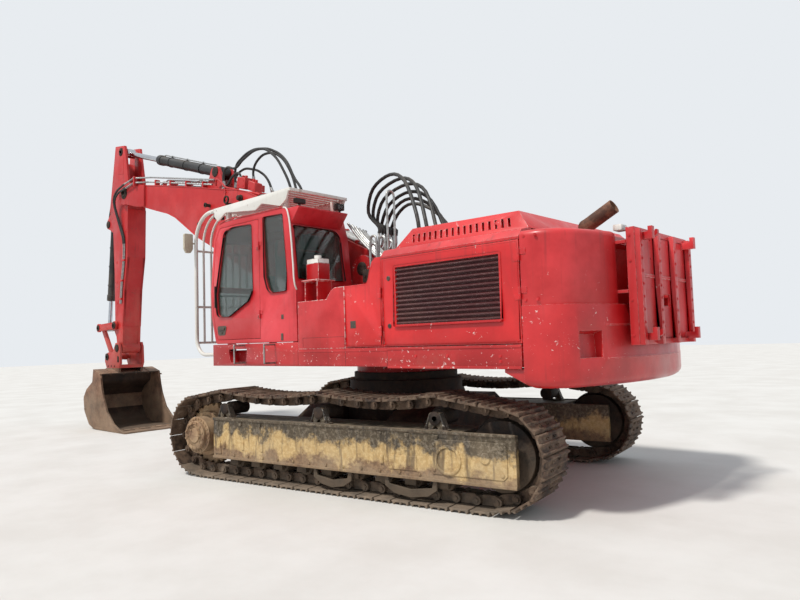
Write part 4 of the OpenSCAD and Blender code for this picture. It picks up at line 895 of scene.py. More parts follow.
class Work:
    """One piece being modelled in edit mode, with its place in its mesh."""

    def __init__(self, bench: Bench, name: str) -> None:
        """Opens an empty mesh in edit mode.

        Args:
            bench: The bench that finishes it.
            name: The piece's name.
        """
        self.bench = bench
        select_none()
        bpy.ops.mesh.primitive_plane_add(size=0.01)
        self.piece = bpy.context.active_object
        self.piece.name = name
        bpy.ops.object.mode_set(mode="EDIT")
        bpy.ops.mesh.delete(type="VERT")
        self.extra: list[bpy.types.Object] = []
        self.turn = Matrix.Identity(4)

    def mesh(self) -> bmesh.types.BMesh:
        """The mesh in edit mode, with its tables up to date.

        Returns:
            The mesh.
        """
        mesh = bmesh.from_edit_mesh(self.piece.data)
        mesh.verts.ensure_lookup_table()
        mesh.faces.ensure_lookup_table()
        return mesh

    def deselect(self) -> None:
        """Deselects all, so that the next primitive is the only selection."""
        bpy.ops.mesh.select_all(action="DESELECT")

    def circle(self, count: int, fill: str) -> list[bmesh.types.BMVert]:
        """Adds a ring of vertices and gives them in order round it.

        Args:
            count: How many vertices.
            fill: NGON for a face, NOTHING for a wire.

        Returns:
            The vertices in order.
        """
        self.deselect()
        bpy.ops.mesh.primitive_circle_add(vertices=count, radius=1.0, fill_type=fill)
        picked = [vertex for vertex in self.mesh().verts if vertex.select]
        return sorted(picked, key=lambda vertex: math.atan2(vertex.co.y, vertex.co.x))

    def soften(self, width: float, segments: int = 1) -> None:
        """Bevels every edge of the selection, in millimetres."""
        if width > 0:
            bpy.ops.mesh.bevel(offset=width * MM, segments=segments, affect="EDGES", clamp_overlap=True)

    def box(self, low: Point, high: Point, soft: float = 0.0, segments: int = 1) -> None:
        """Adds a block between two corners in millimetres.

        Args:
            low: Its low corner.
            high: Its high corner.
            soft: Width of its softened edges.
            segments: Steps across a softened edge.
        """
        self.deselect()
        a, b = Vector(low) * MM, Vector(high) * MM
        bpy.ops.mesh.primitive_cube_add(size=1.0, location=(a + b) / 2, scale=b - a)
        self.soften(soft, segments)

    def face(self, outline: Outline, axis: Axis, depth: float) -> None:
        """Adds a flat face with an outline at a depth along an axis, in millimetres.

        Args:
            outline: Its corners.
            axis: The axis that stands on it.
            depth: Its place along the axis.
        """
        for vertex, (u, v) in zip(self.circle(len(outline), "NGON"), outline):
            vertex.co = axis.place(u, v, depth) * MM
        bmesh.update_edit_mesh(self.piece.data)

    def extrude(self, axis: Axis, reach: float) -> None:
        """Extrudes the selected faces along an axis, in millimetres."""
        move = axis.place(0.0, 0.0, reach) * MM
        bpy.ops.mesh.extrude_region_move(TRANSFORM_OT_translate={"value": move})

    def prism(self, outline: Outline, axis: Axis, start: float, end: float, soft: float = 0.0,
              segments: int = 1) -> None:
        """Adds a plate of any outline, extruded along an axis, in millimetres.

        Args:
            outline: Its corners.
            axis: The axis that it runs along.
            start: Where it begins.
            end: Where it ends.
            soft: Width of its softened edges.
            segments: Steps across a softened edge.
        """
        self.face(outline, axis, start)
        self.extrude(axis, end - start)
        if soft > 0:
            bpy.ops.mesh.select_linked()
            self.soften(soft, segments)

    def ring(self, outline: Outline, axis: Axis, start: float, end: float, width: float) -> None:
        """Adds a frame between an outline and one a width inside it, in millimetres.

        Args:
            outline: Its outer corners.
            axis: The axis that it runs along.
            start: Where it begins.
            end: Where it ends.
            width: Width of the frame.
        """
        self.face(outline, axis, start)
        bpy.ops.mesh.inset(thickness=width * MM)
        mesh = self.mesh()
        inner = next(face for face in mesh.faces if face.select)
        frame_faces = {face for vertex in inner.verts for face in vertex.link_faces} - {inner}
        inner.select = False
        for face in frame_faces:
            face.select = True
        bmesh.ops.delete(mesh, geom=[inner], context="FACES_ONLY")
        bmesh.update_edit_mesh(self.piece.data)
        self.extrude(axis, end - start)

    def rod(self, start: Point, end: Point, radius: float, sides: int = 24,
            radius_end: float | None = None) -> None:
        """Adds a round bar or a cone between two points, in millimetres.

        Args:
            start: Middle of one end.
            end: Middle of the other end.
            radius: Its radius.
            sides: How many sides it has.
            radius_end: Its radius at the other end, where that differs.
        """
        self.deselect()
        a, b = Vector(start) * MM, Vector(end) * MM
        turn = (b - a).to_track_quat("Z", "Y").to_euler()
        tip = radius if radius_end is None else radius_end
        bpy.ops.mesh.primitive_cone_add(vertices=sides, radius1=radius * MM, radius2=tip * MM,
                                        depth=(b - a).length, location=(a + b) / 2, rotation=turn)

    def lathe(self, profile: Outline, start: Point, axis: Point, steps: int = 32) -> None:
        """Spins a profile of (radius, distance) round an axis from a point, in millimetres.

        Args:
            profile: Radius and distance of each corner.
            start: Where the distances start.
            axis: Which way they run.
            steps: Steps round the axis.
        """
        way = Vector(axis).normalized()
        side = way.orthogonal().normalized()
        for vertex, (radius, along) in zip(self.circle(len(profile), "NOTHING"), profile):
            vertex.co = (Vector(start) + way * along + side * radius) * MM
        bmesh.update_edit_mesh(self.piece.data)
        bpy.ops.mesh.spin(steps=steps, angle=math.tau, center=Vector(start) * MM, axis=way)
        bpy.ops.mesh.select_all(action="SELECT")
        bpy.ops.mesh.remove_doubles(threshold=1e-6)

    def stamp(self, other: bpy.types.Object, places: list[Matrix]) -> None:
        """Copies a finished part to many places, to be joined to this piece.

        Args:
            other: The part.
            places: A matrix for each copy.
        """
        for place in places:
            copy = bpy.data.objects.new(other.name + "_copy", other.data.copy())
            copy.data.transform(place)
            bpy.context.scene.collection.objects.link(copy)
            self.extra.append(copy)

    def bolts(self, places: list[Point], axis: Point, radius: float = 14.0, height: float = 12.0) -> None:
        """Adds hexagon bolt heads that stand on a surface, in millimetres.

        Args:
            places: Where they stand.
            axis: Which way they point.
            radius: Radius of a head.
            height: Height of a head.
        """
        way = Vector(axis).normalized()
        for place in places:
            foot = Vector(place)
            self.rod(tuple(foot - way * 2), tuple(foot + way * height), radius, 6)
            self.rod(tuple(foot - way * 2), tuple(foot + way * 3), radius * 1.5, 16)

    def mirror_y(self) -> None:
        """Adds the mirror image of all that is there on the other side."""
        bpy.ops.mesh.select_all(action="SELECT")
        bpy.ops.mesh.duplicate()
        mesh = self.mesh()
        for vertex in mesh.verts:
            if vertex.select:
                vertex.co.y = -vertex.co.y
        bmesh.update_edit_mesh(self.piece.data)
        bpy.ops.mesh.flip_normals()

    def close(self) -> None:
        """Turns all faces outwards and leaves edit mode."""
        bpy.ops.mesh.select_all(action="SELECT")
        bpy.ops.mesh.normals_make_consistent(inside=False)
        bpy.ops.object.mode_set(mode="OBJECT")

    def done(self, finish: Finish, body: str, nodes: tuple[str, ...] = (), bevel: float = 0.0) -> None:
        """Closes the piece: turns its faces outwards, softens and dresses it.

        Args:
            finish: Its finish.
            body: The body that it rides on.
            nodes: CAD nodes that it stands for.
            bevel: Width of its softened edges in millimetres.
        """
        self.close()
        if self.extra:
            only(self.piece)
            for copy in self.extra:
                copy.select_set(True)
            bpy.ops.object.join()
        self.piece.data.transform(self.turn)
        self.bench.round_edges(self.piece, bevel)
        self.bench.finish(self.piece, finish, body, nodes)

    def part(self) -> bpy.types.Object:
        """Closes the piece as a pattern to copy, and takes it out of the scene.

        Returns:
            The pattern.
        """
        self.close()
        for shelf in list(self.piece.users_collection):
            shelf.objects.unlink(self.piece)
        return self.piece


def hoses(bench: Bench, name: str, routes: list[list[Point]], radius: float, finish: Finish,
          body: str) -> None:
    """Makes hoses or pipes along smooth routes as one meshed curve.

    Args:
        bench: The bench that finishes the piece.
        name: The piece's name.
        routes: For each hose, the points that it passes, in millimetres.
        radius: Radius of a hose in millimetres.
        finish: The hoses' finish.
        body: The body that they ride on.
    """
    curve = bpy.data.curves.new(name, "CURVE")
    curve.dimensions, curve.bevel_depth, curve.bevel_resolution = "3D", radius * MM, 3
    curve.use_fill_caps, curve.resolution_u = True, 6
    for route in routes:
        spline = curve.splines.new("BEZIER")
        spline.bezier_points.add(len(route) - 1)
        for knot, point in zip(spline.bezier_points, route):
            knot.co = Vector(point) * MM
            knot.handle_left_type = knot.handle_right_type = "AUTO"
    piece = bpy.data.objects.new(name, curve)
    bpy.context.scene.collection.objects.link(piece)
    only(piece)
    bpy.ops.object.convert(target="MESH")
    bench.finish(bpy.context.active_object, finish, body)


@dataclass
class Studio:
    """The camera at the photograph's place, a pale floor and soft light."""

    eye: Point = (-5.951, 6.645, 1.697)
    yaw: float = -47.83
    pitch: float = 3.587
    roll: float = -1.777
    lens: float = 29.24
    sun_strength: float = 3.0
    sun_way: Point = (-0.12, -0.62, -1.0)
    sky_strength: float = 0.64
    floor: Colour = srgb(214, 212, 208)

    def build(self) -> None:
        """Adds the camera, the floor, the sun and the sky."""
        scene = bpy.context.scene
        scene.view_settings.view_transform = "Standard"
        yaw, pitch, roll = (math.radians(v) for v in (self.yaw, self.pitch, self.roll))
        ahead = Vector((math.cos(pitch) * math.cos(yaw), math.cos(pitch) * math.sin(yaw), math.sin(pitch)))
        level = Vector((math.sin(yaw), -math.cos(yaw), 0.0))
        above = level.cross(ahead)
        right = math.cos(roll) * level + math.sin(roll) * above
        up = math.cos(roll) * above - math.sin(roll) * level
        turn = Matrix((right, up, -ahead)).transposed().to_4x4()
        lens = bpy.data.cameras.new("Camera")
        lens.lens, lens.sensor_width, lens.sensor_fit = self.lens, 36.0, "HORIZONTAL"
        lens.clip_start, lens.clip_end = 0.05, 500.0
        camera = bpy.data.objects.new("Camera", lens)
        camera.matrix_world = Matrix.Translation(self.eye) @ turn
        scene.collection.objects.link(camera)
        scene.camera = camera
        self.add_floor()
        sun = bpy.data.lights.new("Sun", "SUN")
        sun.energy, sun.angle, sun.color = self.sun_strength, math.radians(7.0), (1.0, 0.97, 0.92)
        lamp = bpy.data.objects.new("Sun", sun)
        lamp.rotation_euler = Vector(self.sun_way).to_track_quat("-Z", "Y").to_euler()
        scene.collection.objects.link(lamp)
        self.add_sky(scene)

    def add_floor(self) -> None:
        """A wide pale floor that keeps the shadow."""
        select_none()
        bpy.ops.mesh.primitive_plane_add(size=160.0, location=(3.0, 0.0, 0.0))
        plate = bpy.context.active_object
        plate.name = "Floor"
        material, s, shader, place = blank_material("Pale floor")
        tone = s.remap(s.noise(place, 0.8, 6.0, 0.6), 0.3, 0.7, 0.0, 1.0)
        s.feed(shader.inputs["Base Color"], s.mix(tone, self.floor, srgb(204, 201, 196)))
        shader.inputs["Roughness"].default_value = 0.9
        plate.data.materials.append(material)

    def add_sky(self, scene: bpy.types.Scene) -> None:
        """A pale world: soft light, and a lighter tone where the camera sees it.

        Args:
            scene: The scene that gets the world.
        """
        world = bpy.data.worlds.new("Sky")
        scene.world = world
        world.use_nodes = True
        s = Shader(world.node_tree)
        soft = s.nodes["Background"]
        soft.inputs["Color"].default_value = (0.86, 0.92, 1.0, 1.0)
        soft.inputs["Strength"].default_value = self.sky_strength
        seen = s.put("Background", Color=srgb(232, 236, 240), Strength=1.0)
        path = s.nodes.new("ShaderNodeLightPath")
        rays = s.math("MAXIMUM", path.outputs["Is Camera Ray"],
                      s.math("MAXIMUM", path.outputs["Is Glossy Ray"], path.outputs["Is Transmission Ray"]))
        mixed = s.nodes.new("ShaderNodeMixShader")
        s.feed(mixed.inputs[0], rays)
        s.feed(mixed.inputs[1], soft.outputs[0])
        s.feed(mixed.inputs[2], seen.outputs[0])
        s.feed(s.nodes["World Output"].inputs["Surface"], mixed.outputs[0])


@dataclass
class Undercarriage:
    """Shoes, links and fittings of both tracks and their frames, in millimetres."""

    bench: Bench
    turn: float = 8.4
    gauge: float = 2950.0
    front: Point = (2172.5, 540.0, 530.0)
    rear: Point = (-2152.5, 545.0, 515.0)
    carriers: Point = (1690.5, 100.0, -1460.5)
    top: float = 1152.0
    sag: float = 60.0
    shoes: int = 52
    shoe_half: float = 319.0
    pin_depth: float = 98.0
    side: float = 1770.0

    def arc(self, wheel: Point, start: float, sweep: float) -> list[Vector]:
        """Points round a wheel, given as X, Z and radius, from an angle through a sweep in degrees.

        Args:
            wheel: Its X, Z and radius.
            start: First angle in degrees.
            sweep: How far round, in degrees.

        Returns:
            The points.
        """
        x, z, radius = wheel
        turns = (math.radians(start + i * sweep / 14) for i in range(15))
        return [Vector((x, z)) + radius * Vector((math.cos(a), math.sin(a))) for a in turns]

    def path(self) -> list[Vector]:
        """The way round one track at the tips of its lugs, in X and Z.

        Returns:
            The points of a closed line.
        """
        points = [Vector((self.rear[0] + 60, 0.0)), Vector((self.front[0] - 40, 0.0))]
        points += self.arc(self.front, -90, 162)
        levels = (self.top, self.top, self.top + 6)
        stops = [Vector((x, z)) for x, z in zip(self.carriers, levels)]
        points.append(stops[0])
        for a, b in zip(stops, stops[1:]):
            for i in range(1, 7):
                share = i / 6
                points.append(a.lerp(b, share) - Vector((0.0, 4 * self.sag * share * (1 - share))))
        points += self.arc(self.rear, 110, 160)
        return points + [points[0]]

    def stations(self) -> list[Matrix]:
        """Place of each shoe: along the track, across it and inwards.

        Returns:
            A matrix for each shoe.
        """
        path = self.path()
        lengths = [(b - a).length for a, b in zip(path, path[1:])]
        total = sum(lengths)

        def at(distance: float) -> Vector:
            """The point at a distance round the track.

            Args:
                distance: How far round the track.

            Returns:
                The point.
            """
            left = distance % total
            for a, b, length in zip(path, path[1:], lengths):
                if left <= length:
                    return a.lerp(b, left / length)
                left -= length
            return path[-1]

        places = []
        for index in range(self.shoes):
            middle = (index + 0.5) * total / self.shoes
            way = (at(middle + total / self.shoes / 3) - at(middle - total / self.shoes / 3)).normalized()
            here = at(middle) * MM
            columns = Matrix(((way.x, 0.0, -way.y), (0.0, 1.0, 0.0), (way.y, 0.0, way.x))).to_4x4()
            places.append(Matrix.Translation((here.x, 0.0, here.y)) @ columns)
        return places

    def shoe(self) -> bpy.types.Object:
        """One shoe with three lugs, its bolts, two links, a bushing and its pin.

        Returns:
            The pattern.
        """
        work = Work(self.bench, "shoe_pattern")
        half, pin = self.shoe_half, self.pin_depth
        work.prism([(-104, 43), (-104, 26), (-96, 4), (-82, 1), (-70, 23), (-20, 25), (-12, 3), (2, 3),
                    (12, 25), (64, 23), (76, 3), (90, 5), (98, 24), (106, 34), (106, 43)], Axis.Y, -half,
                    half, 2.5)
        for x in (-46, 38):
            for y in (-112, -72, 72, 112):
                work.rod((x, y, 24), (x, y, 11), 12, 6)
        for side in (-1, 1):
            work.prism([(-108, 70), (-84, 47), (84, 47), (108, 66), (108, 128), (64, 150), (-64, 150),
                        (-108, 128)], Axis.Y, side * 62, side * 96, 3)
            work.rod((-108, side * 54, pin), (-108, side * 146, pin), 47, 16)
            work.rod((-108, side * 40, pin), (-108, side * 160, pin), 24, 10)
        work.rod((-108, -56, pin), (-108, 56, pin), 33, 12)
        return work.part()

    def tracks(self) -> None:
        """Stamps the shoe round both tracks."""
        shoe = self.shoe()
        places = self.stations()
        for name, side in (("track_left", 1), ("track_right", -1)):
            work = self.open(name + "_chain")
            shift = Matrix.Translation((0.0, side * self.gauge / 2 * MM, 0.0))
            work.stamp(shoe, [shift @ place for place in places])
            work.done(TRACK, "undercarriage", (name,))

    def open(self, name: str) -> Work:
        """Starts a piece in the turned frame of the undercarriage.

        Args:
            name: The piece's name.

        Returns:
            The piece in edit mode.
        """
        work = Work(self.bench, name)
        work.turn = Matrix.Rotation(math.radians(self.turn), 4, "Z")
        return work

    def hubs(self) -> None:
        """Bolted covers of the wheels at the front, on both sides."""
        x, z, _ = self.front
        work = self.open("hub_covers")
        work.lathe([(188, 1750), (188, 1796), (176, 1806), (150, 1808), (146, 1800), (96, 1800), (92, 1812),
                    (60, 1814), (0, 1814)], (x, 0, z), (0, 1, 0), 48)
        for count, reach, level, size in ((12, 163, 1807, 13), (24, 212, 1755, 12)):
            turns = tuple(math.tau * (i + 0.5) / count for i in range(count))
            work.bolts(round_pin(x, z, reach, level, turns), (0, 1, 0), size, 10)
        work.lathe([(238, 1735), (238, 1752), (226, 1758), (196, 1758)], (x, 0, z), (0, 1, 0), 48)
        work.box((x - 140, 1812, z - 6), (x + 140, 1817, z + 6), 2)
        work.rod((x + 52, 1810, z + 68), (x + 52, 1824, z + 68), 16, 6)
        work.mirror_y()
        work.done(HUB_TAN, "undercarriage")

    def frame_fittings(self) -> None:
        """Tabs, plates, bosses and bolts on the frames' sides, and the rollers' guards and caps."""
        y = self.side
        work = self.open("frame_fittings")
        for x in (1330, 990, -810, -1160, -1510):
            work.prism([(x - 26, 740), (x - 18, 700), (x + 18, 700), (x + 26, 740)], Axis.Y, y - 2, y + 16,
                       3)
        for x in (1630, 1290, 960, -830, -1170, -1510):
            work.box((x - 20, y - 2, 405), (x + 20, y + 12, 500), 3)
        work.box((-1270, y - 2, 360), (-920, y + 8, 510), 4)
        work.prism([(-2280, 392), (-2238, 350), (-1462, 350), (-1420, 392), (-1420, 655), (-1462, 700),
                    (-2238, 700), (-2280, 655)], Axis.Y, y - 2, y + 9, 4)
        work.prism([(1680, 330), (1800, 330), (1800, 740), (1740, 740)], Axis.Y, y - 2, y + 9, 4)
        work.lathe([(120, y + 4), (150, y + 4), (150, y + 17), (142, y + 22), (124, y + 22), (120, y + 16)],
                   (-1640.5, 0, 500), (0, 1, 0), 32)
        work.lathe([(56, y + 4), (56, y + 16), (48, y + 22), (0, y + 22)], (-2050, 0, 545), (0, 1, 0), 24)
        work.bolts([(x, y + 8, z) for x in (-2230, -1480) for z in (400, 650)], (0, 1, 0), 17, 12)
        work.bolts([(x, y, 334) for x in range(-1300, 1700, 250)], (0, 1, 0), 15, 12)
        work.mirror_y()
        work.done(FRAME_SIDE, "undercarriage")
        work = self.open("roller_guards")
        for x0, x1 in ((-400, 150), (-1490, -850)):
            middle = (x0 + x1) / 2
            work.prism([(x0, 290), (x0, 180), (x0 + 110, 110), (middle, 80), (x1 - 110, 110), (x1, 180),
                        (x1, 290), (x1 - 40, 290), (x1 - 60, 200), (middle, 165), (x0 + 60, 200),
                        (x0 + 40, 290)], Axis.Y, y - 40, y - 12, 4)
        for x in self.carriers:
            for side in (-1, 1):
                work.bolts([(x + side * 104, y - 70, 800)], (0, 1, 0), 15, 12)
            work.lathe([(70, y - 72), (70, y - 58), (58, y - 52), (0, y - 52)], (x, 0, 894), (0, 1, 0), 24)
        work.mirror_y()
        work.done(DARK_STEEL, "undercarriage")

    def stands(self) -> None:
        """Foot plates and ribs of the carrier rollers' stands."""
        y = self.side
        work = self.open("carrier_stands")
        for x in self.carriers:
            work.box((x - 150, y - 150, 768), (x + 150, y - 50, 784), 3)
            for way in (-1, 1):
                rib = [(x + way * 128, 780), (x + way * 64, 946), (x + way * 48, 946), (x + way * 108, 780)]
                work.prism(rib, Axis.Y, y - 142, y - 58, 2)
        work.mirror_y()
        work.done(STAND_BLACK, "undercarriage")

    def build(self) -> None:
        """Builds all of the undercarriage's own pieces."""
        self.tracks()
        self.hubs()
        self.frame_fittings()
        self.stands()


@dataclass
class Cab:
    """Seals, handles, lamps, rails and the driver's fittings, in millimetres."""

    bench: Bench
    side: float = SIDE
    inner: float = 510.0
    door_window: Outline = field(default_factory=lambda: rounded(
        [(2080, 3330), (1850, 3365), (1400, 3345), (1390, 2420), (1480, 2300), (1940, 2110), (2250, 2110),
         (2280, 2440)],
        [120, 60, 50, 60, 60, 60, 90, 0]))
    quarter: Outline = field(default_factory=lambda: rounded(
        [(1150, 3400), (720, 3385), (650, 2600), (660, 2380), (1040, 2370), (1120, 2600)],
        [30, 30, 0, 20, 130, 0]))
    rear: Outline = field(default_factory=lambda: rounded(
        [(640, 2520), (1440, 2520), (1440, 3220), (640, 3220)], [20, 20, 20, 160]))
    far: Outline = field(default_factory=lambda: rounded(
        [(760, 2300), (2150, 2300), (2150, 3300), (760, 3300)], [60, 60, 60, 60]))

    def seals(self) -> None:
        """Rubber frames round the panes and the bar across the door's."""
        work = Work(self.bench, "cab_seals")
        work.ring(self.quarter, Axis.Y, self.side - 3, self.side + 5, 20)
        work.ring(self.far, Axis.Y, self.inner + 3, self.inner - 5, 22)
        work.done(SEAL, "upper", bevel=1.5)
        work = Work(self.bench, "rear_seal")
        work.ring(self.rear, Axis.X, 484, 474, 22)
        work.turn = Matrix(((1, 0, 0.1, -0.244), (0, 1, 0, 0), (0, 0, 1, 0), (0, 0, 0, 1)))
        work.done(SEAL, "upper", bevel=1.5)
        work = Work(self.bench, "door_seal")
        work.ring(self.door_window, Axis.Y, self.side - 3, self.side + 6, 24)
        work.rod((1385, 1420, 2352), (2270, 1420, 2424), 13, 12)
        work.done(SEAL, "cab_door", bevel=1.5)

    def door(self) -> None:
        """Handle in its recess, lock, hinge bolts and grab rail of the door."""
        y = self.side
        work = Work(self.bench, "door_handle")
        work.prism(rounded([(2030, 1985), (2270, 1985), (2250, 1850), (2075, 1850)], [30, 30, 40, 40]),
                   Axis.Y, y - 4, y + 5, 2)
        work.prism(rounded([(2075, 1962), (2232, 1962), (2222, 1925), (2085, 1925)], [14, 14, 14, 14]),
                   Axis.Y, y + 4, y + 20, 3)
        work.lathe([(14, 4), (14, 12), (9, 14), (0, 14)], (2150, y, 1885), (0, 1, 0), 16)
        work.bolts([(1270, y + 5, z) for z in (2065, 2085, 2985, 3005)], (0, 1, 0), 8, 5)
        work.done(BLACK, "cab_door")
        work = Work(self.bench, "door_rail")
        work.rod((2290, y + 22, 2250), (2290, y + 22, 2560), 11, 12)
        for z in (2262, 2548):
            work.rod((2290, y - 2, z), (2290, y + 22, z), 9, 10)
        work.done(SEAL, "cab_door")

    def body(self) -> None:
        """Corner rail, gutter, blank marks, lamps and their lenses; the white corner rail is also a painted
        highlight on the cab's rounded rear corner.
        """
        y = self.side
        # Painted highlight: a white tube up the rear corner of the cab, partly a rail and partly the bright
        # highlight on the rounded corner.
        hoses(self.bench, "cab_corner_highlight_rail", [[(478, y - 14, 2380), (486, y + 6, 2440), (512, y + 8, 2700),
                                               (548, y + 8, 3100), (590, y + 8, 3350), (640, y + 4, 3440),
                                               (720, y - 6, 3464)]], 11, WHITE, "upper")
        hoses(self.bench, "roof_gutter", [[(700, y + 1, 3464), (1300, y + 1, 3468), (2130, y + 1, 3466),
                                           (2220, y - 10, 3420), (2310, y - 12, 3250)]], 9, DECK_RED,
                                           "upper")
        work = Work(self.bench, "cab_marks")
        work.box((735, y - 2, 2020), (785, y + 2, 2080), 1)
        work.box((748, y - 2, 1750), (792, y + 8, 1840), 4)
        work.box((-590, y - 2, 1855), (-500, y + 4, 1940), 3)
        work.rod((-545, y + 2, 1898), (-545, y + 9, 1898), 20, 16)
        work.done(BLACK, "upper")
        work = Work(self.bench, "roof_lamps")
        work.box((575, 1215, 3520), (640, 1375, 3585), 8, 2)
        work.box((572, 1228, 3530), (577, 1362, 3575), 2)
        work.box((600, 1280, 3480), (620, 1310, 3525), 3)
        work.box((580, 520, 3520), (650, 660, 3610), 10, 2)
        work.box((600, 575, 3480), (620, 605, 3525), 3)
        for lamp in (620, 1380):
            work.box((2330, lamp - 75, 3560), (2400, lamp + 75, 3650), 12, 2)
            work.box((2355, lamp - 12, 3640), (2375, lamp + 12, 3668), 2)
        work.done(TRIM, "upper")
        work = Work(self.bench, "lamp_lenses")
        work.box((2396, 555, 3572), (2404, 685, 3638), 3)
        work.box((2396, 1315, 3572), (2404, 1445, 3638), 3)
        work.box((574, 535, 3532), (580, 645, 3598), 3)
        work.done(LAMP_GLASS, "upper")

    def cabin(self) -> None:
        """Headrest, armrests, levers, pedals and screen."""
        middle = 1000.0
        work = Work(self.bench, "seat_headrest")
        work.prism(rounded([(742, 2960), (842, 2960), (812, 3160), (730, 3160)], [20, 20, 35, 35]), Axis.Y,
                   middle - 130, middle + 130, 18, 2)
        work.done(CLOTH, "upper")
        work = Work(self.bench, "cab_controls")
        for side in (-1, 1):
            y = middle + side * 330
            work.lathe([(34, 0), (30, 40), (18, 60), (15, 130), (26, 150), (28, 190), (18, 215), (0, 220)],
                       (1438, y, 2500), (0.1, 0, 1), 16)
            work.box((1000, y - 60, 2338), (1420, y + 60, 2378), 16, 2)
            pedal = middle + side * 70
            work.rod((1930, pedal, 1790), (1900, pedal, 2130), 13, 10)
            work.lathe([(24, 0), (28, 20), (20, 44), (0, 50)], (1900, pedal, 2120), (0, 0, 1), 14)
            work.prism([(1880, 1800), (2060, 1850), (2056, 1866), (1876, 1816)], Axis.Y, pedal - 50,
                       pedal + 50, 4)
        work.box((2080, 590, 2560), (2130, 800, 2740), 14, 2)
        work.rod((2105, 700, 2480), (2105, 700, 2570), 14, 10)
        work.done(TRIM, "upper")

    def guards(self) -> None:
        """Clamps and bolts that hold the roof guard and the front guard's tubes."""
        work = Work(self.bench, "guard_clamps")
        for index in range(8):
            y = self.inner + 40 + index * (self.side - self.inner - 80) / 7
            for x in (2340, 2430):
                work.box((x, y - 26, 3652), (x + 34, y + 26, 3702), 5)
            work.bolts([(2357, y - 18, 3702), (2357, y + 18, 3702)], (0, 0, 1), 7, 6)
        for x in (720, 2020):
            for y in (self.inner + 70, self.side - 70):
                work.bolts([(x, y, 3700), (x + 36, y, 3700)], (0, 0, 1), 10, 7)
        work.prism([(2884, 1790), (2916, 1790), (2916, 3180), (2884, 3180)], Axis.Y, self.side - 66,
                   self.side - 60, 1)
        work.done(WHITE, "upper")

    def build(self) -> None:
        """Builds all of the cab's own pieces."""
        self.seals()
        self.door()
        self.body()
        self.cabin()
        self.guards()


